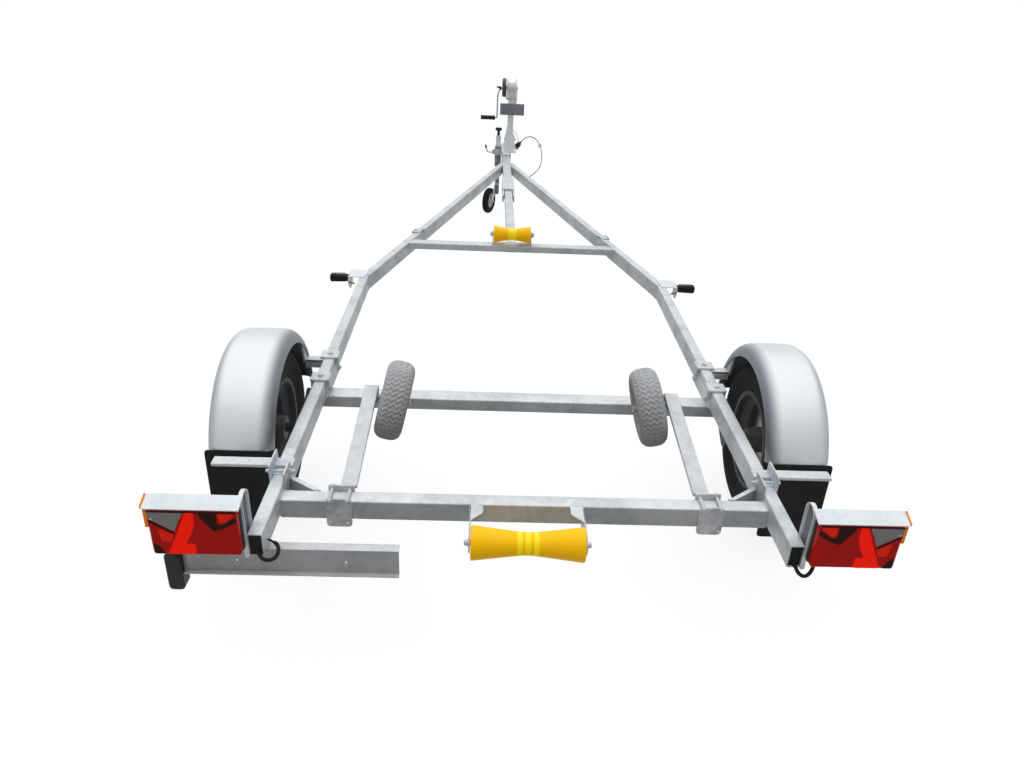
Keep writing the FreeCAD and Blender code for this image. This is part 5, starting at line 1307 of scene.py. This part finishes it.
def winch_drum():
    """Wound webbing between two dished flanges, and a gear of forty teeth under the cover."""
    core, r, teeth = 0.041, DRUM_R, 40
    flange = [(0.003, 0), (0.003, core), (0.003, r - 0.012), (0.0055, r - 0.004), (0.0045, r - 0.001),
              (0.0025, r), (0.0005, r - 0.003), (0, r - 0.012), (0, 0.026), (-0.002, 0.022),
              (-0.002, 0.009), (-0.01, 0.009), (-0.01, 0)]
    flanges = [lathe(flange, DRUM_AT, X, 60), lathe(flange, DRUM_AT + X * DRUM_W, -X, 60)]
    x = np.linspace(0.0035, DRUM_W - 0.0035, 61)
    wound = core + 0.0012 * np.sin(x * 2 * math.pi / 0.0075) * (1 + 0.5 * np.sin(x * 210))
    wrap = lathe([(x[0], 0.02), *zip(x, wound), (x[-1], 0.02)], DRUM_AT, X, 60, closed=True)
    new_piece("drum_flanges", flanges, "painted_light_winch_zinc", "winch_drum", body="drum", crisp=40)
    new_piece("drum_webbing", wrap, "webbing", body="drum", crisp=60)
    turn = around(teeth * 6)
    outer = 0.0425 + 0.0018 * np.clip(np.sin(turn * teeth) * 1.8, -1, 1)
    bore = np.full(len(turn), 0.0092)
    along = np.array([[0.0], [0.0], [-0.012], [-0.012]])
    at = (WINCH[0].x - 0.003, POST_Y, DRUM_Z)
    gear = spun(along, np.array([bore, outer, outer, bore]), len(turn), at, X, Y, Z)
    new_piece("drum_gear", surface(gear, close_u=True), "zinc", body="drum")


def gear_cover():
    """A moulded cap with a rounded rim, open towards the winch."""
    depth, r = COVER[1].x - COVER[0].x, (COVER[1].z - COVER[0].z) / 2
    edge = [(depth * (1 - math.cos(a)) * 0.42, r - 0.014 + 0.014 * math.sin(a))
            for a in np.linspace(0, math.pi / 2, 8)]
    shell = [(0.0015, 0.012), (0.0015, r - 0.03), (0, r - 0.024), *edge, (depth * 0.55, r - 0.001),
             (depth * 0.57, r), (depth - 0.003, r), (depth, r - 0.001), (depth, r - 0.003),
             (depth * 0.5, r - 0.004), (0.004, r - 0.018), (0.004, 0.012)]
    new_piece("winch_cover", lathe(shell, (COVER[0].x, POST_Y, DRUM_Z), X, 64, closed=True), "cover_black",
              "gear_cover", slot="black_plastic", crisp=40)


def winch_crank():
    """A cranked bar on a boss, with a ribbed grip."""
    end, low = COVER[0].x - 0.014, CRANK[0].z + 0.016
    arm = end - 0.018
    places = [(CRANK[1].x, CRANK_Z), (end, CRANK_Z), (arm, CRANK_Z - 0.05), (arm, low), (arm - 0.02, low)]
    path = bent([(x, CRANK_Y, z) for x, z in places], 0.02, 8)
    size = np.where(path[:, 0] > end + 0.001, 0.0078, 0.006)
    handle = [pipe(path, size, 14), rod(0.006, (arm - 0.018, CRANK_Y, low), (arm - 0.03, CRANK_Y, low), 14)]
    new_piece("crank_rod", handle, "zinc", "winch_crank", body="crank")
    boss = [rod(0.013, (end + 0.008, CRANK_Y, CRANK_Z), (end - 0.006, CRANK_Y, CRANK_Z), 20),
            rod(0.007, (end - 0.004, CRANK_Y, CRANK_Z + 0.003), (end - 0.026, CRANK_Y, CRANK_Z + 0.009),
                14)]
    at = (CRANK[0].x, CRANK_Y, low)
    grip = lathe([(0, 0), (0, 0.013), (0.002, 0.0155), (0.006, 0.016), (0.05, 0.0152), (0.096, 0.0155),
                  (0.099, 0.016), (0.1, 0.0185), (0.108, 0.0185), (0.112, 0.014), (0.114, 0)], at, X, 28)
    ribs = [lathe([(a, 0.0148), (a + 0.001, 0.0166), (a + 0.0035, 0.0166), (a + 0.0045, 0.0148)], at, X, 28,
                  closed=True) for a in np.arange(0.012, 0.094, 0.0082)]
    new_piece("crank_grip", [grip, *ribs, *boss], "black_plastic", slot="black_rubber", body="crank")


def strap():
    """The webbing's end beside the post, with its eye and hook."""
    x, y, eye_z = POST_X + 0.0235, POST_Y, 0.80
    band = block(x, x + 0.017, y - 0.014, y - 0.0115, eye_z, WINCH[0].z, 0.0005, 0.0005)
    places = [(-0.0125, 0.804), (-0.0125, 0.778), (0.012, 0.768), (0.014, 0.79)]
    hook = pipe(bent([(x + 0.0085, y + a, z) for a, z in places], 0.012), 0.0035, 10)
    eye = block(x - 0.0015, x + 0.0185, y - 0.0165, y - 0.009, eye_z - 0.002, eye_z + 0.004, 0.001)
    new_piece("strap_end", band, "orange_webbing", slot="cable_grey")
    new_piece("strap_hook", [hook, eye], "zinc")


# ---- jockey wheel ----

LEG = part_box("jockey_leg")
JOCKEY = middle(LEG) * (1, 1, 0)                        # foot of its axis
SLEEVE_R, LEG_R, SLIP = 0.025, 0.017, 0.01708           # SLIP: bore for the leg
FORK_TURN = math.radians(-22.0)


def upright(rows, z, steps):
    """A lathe shape on the jockey's axis, its rows counted from a height."""
    return lathe(rows, JOCKEY + Z * z, Z, steps, closed=rows[0][1] > 0)


def jockey_sleeve():
    """A painted outer sleeve with a plated neck and a cross handle."""
    low, head = (corner.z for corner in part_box("jockey_sleeve"))
    r, tall = SLEEVE_R, 0.154
    top = low + tall
    tube = [(0, SLIP), (0, r - 0.001), (0.001, r), (0.012, r), (0.013, r + 0.0012), (0.02, r + 0.0012),
            (0.021, r), (tall - 0.002, r), (tall, r - 0.001), (tall, 0.022), (0.02, 0.022), (0.02, SLIP)]
    new_piece("jockey_tube", upright(tube, low, 40), "sleeve", "jockey_sleeve", slot="sleeve_steel")
    neck = [(0.0735, 0), (0.0735, SLIP), (-0.01, SLIP), (-0.01, 0.0218), (0.012, 0.0215),
            (0.022, SLIP + 0.002), (0.066, SLIP + 0.002), (0.069, SLIP + 0.0045), (0.077, SLIP + 0.0045),
            (0.081, 0.012), (0.081, 0)]
    new_piece("jockey_neck", upright(neck, top, 36), "bright_zinc")
    bar_z, end = head - 0.013, head - top
    stalk = [(0.08, 0), (0.08, 0.0095), (0.083, 0.0115), (end - 0.03, 0.0105), (end - 0.02, 0.0125),
             (end - 0.013, 0.012), (end - 0.013, 0)]
    half = [(-0.025, 0), (-0.025, 0.008), (-0.021, 0.0115), (-0.01, 0.0125)]
    bar = lathe(both_ends(half), JOCKEY + Z * bar_z, X, 28)
    new_piece("jockey_handle", [upright(stalk, top, 28), bar], "black_plastic", slot="black_plastic")


def jockey_clamp():
    """A ring with two lugs, their screw, and a bent lever with a grip."""
    x, y, _ = JOCKEY
    low, tall = FOOT_Z - 0.018, 0.044
    screw_x, screw_z = x - 0.031, low + tall / 2
    ring = [(0, SLEEVE_R + 0.0004), (0, 0.0295), (0.0015, 0.031), (tall - 0.0015, 0.031), (tall, 0.0295),
            (tall, SLEEVE_R + 0.0004)]
    parts = [upright(ring, low, 48), block(x + 0.027, -0.035, y - 0.012, y + 0.012, FOOT_Z, FOOT_Z + 0.008)]
    for near, far in ((-0.007, -0.0015), (0.0015, 0.007)):
        parts.append(block(x - 0.047, x - 0.029, y + near, y + far, low + 0.006, low + 0.038, 0.002))
    parts.append(rod(0.005, (screw_x, y - 0.03, screw_z), (screw_x, y + 0.014, screw_z), 16))
    parts.append(nut((screw_x, y + 0.007, screw_z), Y, 0.016, 0.007, 0))
    path = bent([(screw_x, y - 0.03, screw_z), (x - 0.087, y - 0.034, screw_z + 0.004),
                 (x - 0.099, y - 0.036, screw_z + 0.056)], 0.018, 8)
    parts.append(pipe(path, 0.005, 14))
    new_piece("clamp_ring", parts, "zinc", "jockey_clamp")
    up = unit(path[-1] - path[-2])
    grip = lathe([(-0.024, 0.0049), (-0.024, 0.0062), (-0.02, 0.0072), (-0.003, 0.0072), (0, 0.005),
                  (0, 0)], path[-1] + up * 0.001, up, 18)
    new_piece("lever_grip", grip, "black_rubber", slot="black_rubber")


def jockey_leg():
    """A plain round stem that slides in the sleeve."""
    r, tall = LEG_R, LEG[1].z - LEG[0].z
    stem = [(0, 0), (0, r - 0.001), (0.001, r), (tall - 0.001, r), (tall, r - 0.001), (tall, 0)]
    new_piece("jockey_stem", upright(stem, LEG[0].z, 36), "sleeve", "jockey_leg", slot="sleeve_steel",
              body="jockey_slide")


def jockey_wheel():
    """A one-sided fork on a shank, and a grooved solid tyre on a dished rim; all of it is drawn facing
    the rear beside the middle plane, then turned and moved under the leg."""
    y, crown, side, w, rim = JOCKEY[1], 0.222, -0.042, 0.024, 0.062
    hub_y, hub_z, px = y - 0.06, 0.1, side + w + 0.004
    centre = (side, hub_y, hub_z)

    def placed(name, shape, *more, body):
        points, faces = turned_about(shape, (0, y, 0), Z, FORK_TURN)
        new_piece(name, (points + JOCKEY * X, faces), *more[:-1], slot=more[-1], body=body)

    cheek = by(y, crown, (-0.022, 0.006), (0.018, 0.006), (0.012, -0.024))
    cheek += by(hub_y, hub_z, (0.017, 0.004), (0.012, -0.012), (0, -0.016), (-0.012, -0.012),
                (-0.017, 0.004))
    fork = [side_plate(cheek, px, px + 0.005, 0.006, 0.001),
            rod(0.0205, (0, y, crown), (0, y, crown + 0.01), 36, 0.0015),
            block(px, 0.006, y - 0.018, y + 0.016, crown, crown + 0.01, 0.003),
            rod(0.0078, (px, hub_y, hub_z), (side - w - 0.002, hub_y, hub_z), 18),
            nut((px + 0.005, hub_y, hub_z), X, 0.017, 0.007, 0.001),
            weld([(px + 0.005, y - 0.018, crown), (px + 0.005, y + 0.014, crown)], 0.002)]
    placed("jockey_cheek", merged(fork), "bright_zinc", "jockey_fork", "galvanised", body="jockey_caster")
    shank = lathe([(-0.08, 0), (-0.08, 0.0155), (-0.0785, LEG_R), (0, LEG_R), (0, 0)],
                  (0, y, crown + 0.004), Z, 36)
    placed("jockey_shank", shank, "sleeve", None, "sleeve_steel", body="jockey_caster")
    tread = np.linspace(-w + 0.006, w - 0.006, 25)
    crownline = hub_z - 0.0005 - 0.007 * np.abs(tread / (w - 0.006)) ** 3
    groove = 0.002 * (np.abs(np.mod(tread / 0.009 + 0.5, 1.0) - 0.5) < 0.16)
    wall = [(-w + 0.006, rim - 0.006), (-w + 0.001, rim), (-w, rim + 0.01), (-w + 0.001, hub_z - 0.016),
            (-w + 0.003, hub_z - 0.01)]
    tyre = lathe(both_ends(wall, zip(tread, crownline - groove)), centre, X, 72, closed=True)
    placed("jockey_tyre", tyre, "tyre", "jockey_wheel", "tyre_rubber", body="jockey_roller")
    disc = both_ends([(-w + 0.004, rim + 0.001), (-w + 0.008, rim - 0.004), (-w + 0.014, rim - 0.012),
                      (-w + 0.014, 0.03), (-w + 0.006, 0.02), (-w, 0.0175), (-w, 0.0085)])
    disc += [(w - 0.006, rim - 0.0055), (0.004, rim - 0.008), (-0.004, rim - 0.008),
             (-w + 0.006, rim - 0.0055)]
    placed("jockey_rim", lathe(disc, centre, X, 60, closed=True), "hub_silver", None, "rim_silver",
           body="jockey_roller")


# ---- side markers ----

def side_markers():
    """Each bracket is a plate over the bend with a flap folded down at its outer edge, and a stay with a
    pin behind it; the rubber arm carries a clear front lens."""
    lo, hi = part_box("marker_bracket_right")
    t, y0, y1 = 0.004, lo.y, hi.y
    plate = flat_plate([(OUT - 0.024, y0), (hi.x, y0), (hi.x, y1), (OUT - 0.036, y1)], TOP, TOP + t,
                       0.004, 0.001)
    flap = side_plate([(y0, TOP + t), (y0, lo.z + 0.012), (y0 + 0.014, lo.z), (y1 - 0.052, lo.z),
                       (y1 - 0.04, lo.z + 0.012), (y1 - 0.04, TOP + t)], hi.x - t, hi.x, 0.008, 0.001)
    stay = end_plate([(hi.x - 0.022, TOP + 0.001), (hi.x - 0.022, TOP - 0.024),
                      (hi.x - 0.012, lo.z - 0.002), (hi.x - 0.006, lo.z - 0.002),
                      (hi.x + 0.002, TOP - 0.026), (hi.x - 0.001, TOP + 0.001)], y0 + 0.002, y0 + 0.006,
                     0.003)
    pin = rod(0.0042, (hi.x - 0.03, y0 + 0.001, TOP - 0.031), (hi.x - 0.001, y0 + 0.001, TOP - 0.022), 16)
    pair("marker_plate", [plate, flap, stay], "bright_zinc", "marker_bracket")
    pair("marker_pin", pin, "sleeve")
    lo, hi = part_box("side_marker_right")
    _, y, z = middle((lo, hi))
    deep, tall = (hi.y - lo.y) / 2, (hi.z - lo.z) / 2
    rows = []
    for a in np.linspace(0, 1, 25):
        swell = 1.0 - 0.10 * (1 - a) - (0.3 * ((a - 0.92) / 0.08) ** 2 if a > 0.92 else 0.0)
        d, h = deep * swell, tall * swell * (0.82 + 0.18 * min(1.0, a * 4))
        ring = oblong(-d, d, -h, h, 0.011, 5) + (y, z)
        rows.append(np.insert(ring, 0, lo.x + a * (hi.x + 0.008 - lo.x), axis=1))
    pair("marker_arm", surface(np.array(rows), caps=True), "black_rubber", "side_marker",
         slot="black_rubber", crisp=45)
    front = block(lo.x + 0.016, hi.x - 0.004, y + 0.004, y + 0.0195, z - 0.009, z + 0.0195, 0.004, 0.003)
    pair("marker_clear", front, "marker_clear", slot="lamp_red")


# ---- coupling head ----

def coupling():
    """A pressed head that runs from the bar into a dome over the ball, open below; its handle, a bent
    bar on top; and the ends of two through bolts."""
    lo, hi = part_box("coupling_head")
    top, low = TOP + 0.005, lo.z
    ball_y = hi.y - hi.x
    y0, y1 = lo.y, ball_y
    mid_z = TOP - 0.03
    rows = []
    for a in np.linspace(0, 1, 33):
        y = y0 + (y1 - y0) * a
        swell = 0.5 - 0.5 * math.cos(math.pi * min(1, max(0, (a - 0.45) / 0.55)))
        half = 0.0355 - 0.0055 * math.sin(math.pi * min(1, max(0, (a - 0.3) / 0.7))) + 0.0006 * swell
        up = top - 0.012 * math.sin(math.pi * min(1, max(0, (a - 0.42) / 0.5)))
        base = mid_z - 0.018 + (low - mid_z + 0.018) * swell
        ring = oblong(-half, half, base, up, 0.009 + 0.012 * swell, 6)
        rows.append(np.insert(ring, 1, y, axis=1))
    neck = surface(np.array(rows), caps=True)
    r, bore = hi.x, 0.026
    dome = [(low - mid_z, bore), (low - mid_z, r), (low - mid_z + 0.003, r)]
    dome += [(r * math.sin(a), r * math.cos(a)) for a in np.linspace(0, math.pi / 2, 14)]
    dome += [(bore * math.sin(a), bore * math.cos(a)) for a in np.linspace(math.pi / 2, 0, 10)]
    head = lathe(dome, (0, ball_y, mid_z), Z, 56, closed=True)
    handle = by(ball_y, top, (-0.03, -0.004), (0.006, -0.002), (-0.01, 0.014), (-0.09, 0.04),
                (-0.15, 0.044), (-0.15, 0.03), (-0.095, 0.024))
    bolts = [n for dy in (0.03, 0.085)
             for n in side_nuts(0, 0.0345, y0 + dy, mid_z + 0.006, 0.016, 0.004, 0, washer=False)]
    new_piece("coupler", [neck, head] + bolts, "zinc", "coupling_head", crisp=40)
    new_piece("coupler_handle", side_plate(handle, -0.013, 0.013, 0.006, 0.002), "zinc")


# ---- roller brackets ----

BRACKET = 0.004                                 # thickness of both brackets


def roller_place(node):
    """A keel roller's Y and Z, and the X of the bracket beside it."""
    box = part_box(node)
    return *middle(box)[1:], box[1].x + 0.002


def stern_bracket():
    """Two arms with inward flanges that reach back from the cross member, and the roller's pin."""
    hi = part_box("rear_roller_bracket")[1]
    y, z, inner = roller_place("rear_keel_roller")
    outer, far, top, tab = inner + BRACKET, hi.y, hi.z, inner - 0.034
    outline = [(far, top), (y + 0.044, top)]
    outline += by(y, z, (-0.024, 0.018), (-0.03, 0), (-0.022, -0.02), (0, -0.03), (0.04, -0.034))
    flange = [(tab, far), (outer, far), (outer, y + 0.05), (tab, y + 0.09)]
    one = [side_plate(outline + [(far, z - 0.02)], inner, outer, 0.006, 0.0012),
           flat_plate(flange, top - BRACKET, top, 0.004),
           weld([(outer, far - 0.002, z - 0.018), (outer, far - 0.002, top - BRACKET)])]
    end = [(0, 0), (0, 0.0115), (0.002, 0.0115), (0.0022, 0.008), (0.009, 0.008), (0.012, 0.0055),
           (0.0125, 0)]
    pin = [rod(0.008, (-outer, y, z), (outer, y, z), 20)]
    pin += [lathe(end, (way * outer, y, z), (way, 0, 0), 24) for way in (-1, 1)]
    new_piece("stern_roller_arms", with_mirror(one) + pin, "galvanised", "rear_roller_bracket")


def bow_bracket():
    """A channel on the cross member, bolted down, and the roller's pin with its nuts."""
    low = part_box("front_roller_bracket")[0].z
    y, z, inner = roller_place("front_keel_roller")
    outer = inner + BRACKET
    cheek = [(y - 0.028, low), (y + 0.028, low), (y + 0.018, z + 0.016), (y - 0.018, z + 0.016)]
    parts = with_mirror([side_plate(cheek, inner, outer, 0.008, 0.0012)])
    parts += [block(-outer, outer, y - 0.028, y + 0.028, low, low + BRACKET, 0.003),
              rod(0.008, (-outer, y, z), (outer, y, z), 20)]
    for way, pin_nut in zip((-1, 1), side_nuts(0, outer, y, z, 0.022, 0.010, 0.004)):
        parts += [pin_nut, nut((way * 0.05, y - 0.018, low + BRACKET), Z, 0.013, 0.005, 0)]
    new_piece("bow_roller_cradle", parts, "galvanised", "front_roller_bracket")


winch_post()
cable_plug()
bow_stop()
winch_frame()
winch_drum()
gear_cover()
winch_crank()
strap()
jockey_sleeve()
jockey_clamp()
jockey_leg()
jockey_wheel()
side_markers()
coupling()
stern_bracket()
bow_bracket()


# ---- cords ----

def cord(name, node, points, radius, material):
    """A smooth spline by the control points of a cord's route."""
    route = in_metres(points).tolist()
    curve = bpy.data.curves.new(name, "CURVE")
    curve.dimensions = "3D"
    curve.bevel_depth, curve.bevel_resolution, curve.resolution_u = radius, 3, 12
    curve.use_fill_caps = True
    spline = curve.splines.new("NURBS")
    spline.points.add(len(route) - 1)
    for point, place in zip(spline.points, route):
        point.co = (*place, 1)
    spline.order_u = 3
    spline.use_endpoint_u = True
    curve.materials.append(material)
    cable = bpy.data.objects.new(name, curve)
    bpy.context.scene.collection.objects.link(cable)
    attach(cable, BODY)
    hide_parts(node)


def smooth_path(points, n=10):
    """The middle of a quadratic spline: each arc runs between the middles of two neighbouring runs."""
    c = in_metres(points)
    t = np.linspace(0, 1, n, endpoint=False)[:, None]
    arcs = [(1 - t) ** 2 * (a + b) / 2 + 2 * t * (1 - t) * b + t ** 2 * (b + d) / 2
            for a, b, d in zip(c, c[1:], c[2:])]
    return np.concatenate(arcs)


def cables():
    """The cords; the light cable's paper tag and plug, and the lamp cords' thicker sleeves, go with them."""
    path = smooth_path(CABLE_POINTS)
    here = int(len(path) * TAG_PLACE)
    at = path[here]
    way = unit(path[here + 1] - at)
    side = unit(np.cross(way, Y))
    tag = slab(oblong(-0.016, 0.012, -0.02, 0.02, 0.003), at - Y * 0.0052, side, way, 0.0014, 0.0004)
    label = new_piece("cable_tag", tag, "tag_white", slot="grey_plastic")
    cord("lighting_cable", "light_cable", CABLE_POINTS, 0.004, materials["cable_grey"])
    for side, points, length in (("right", RIGHT_LAMP_POINTS, 0.177), ("left", LEFT_LAMP_POINTS, 0.156)):
        sleeve = pipe(smooth_path(points)[4:-4], 0.0052, 16)
        cover = new_piece("lamp_sleeve_" + side, sleeve, "black_rubber", slot="cable_black")
        cord("lamp_cord_" + side, "lamp_cable_" + side, points, 0.003, materials["black_rubber"])


cables()
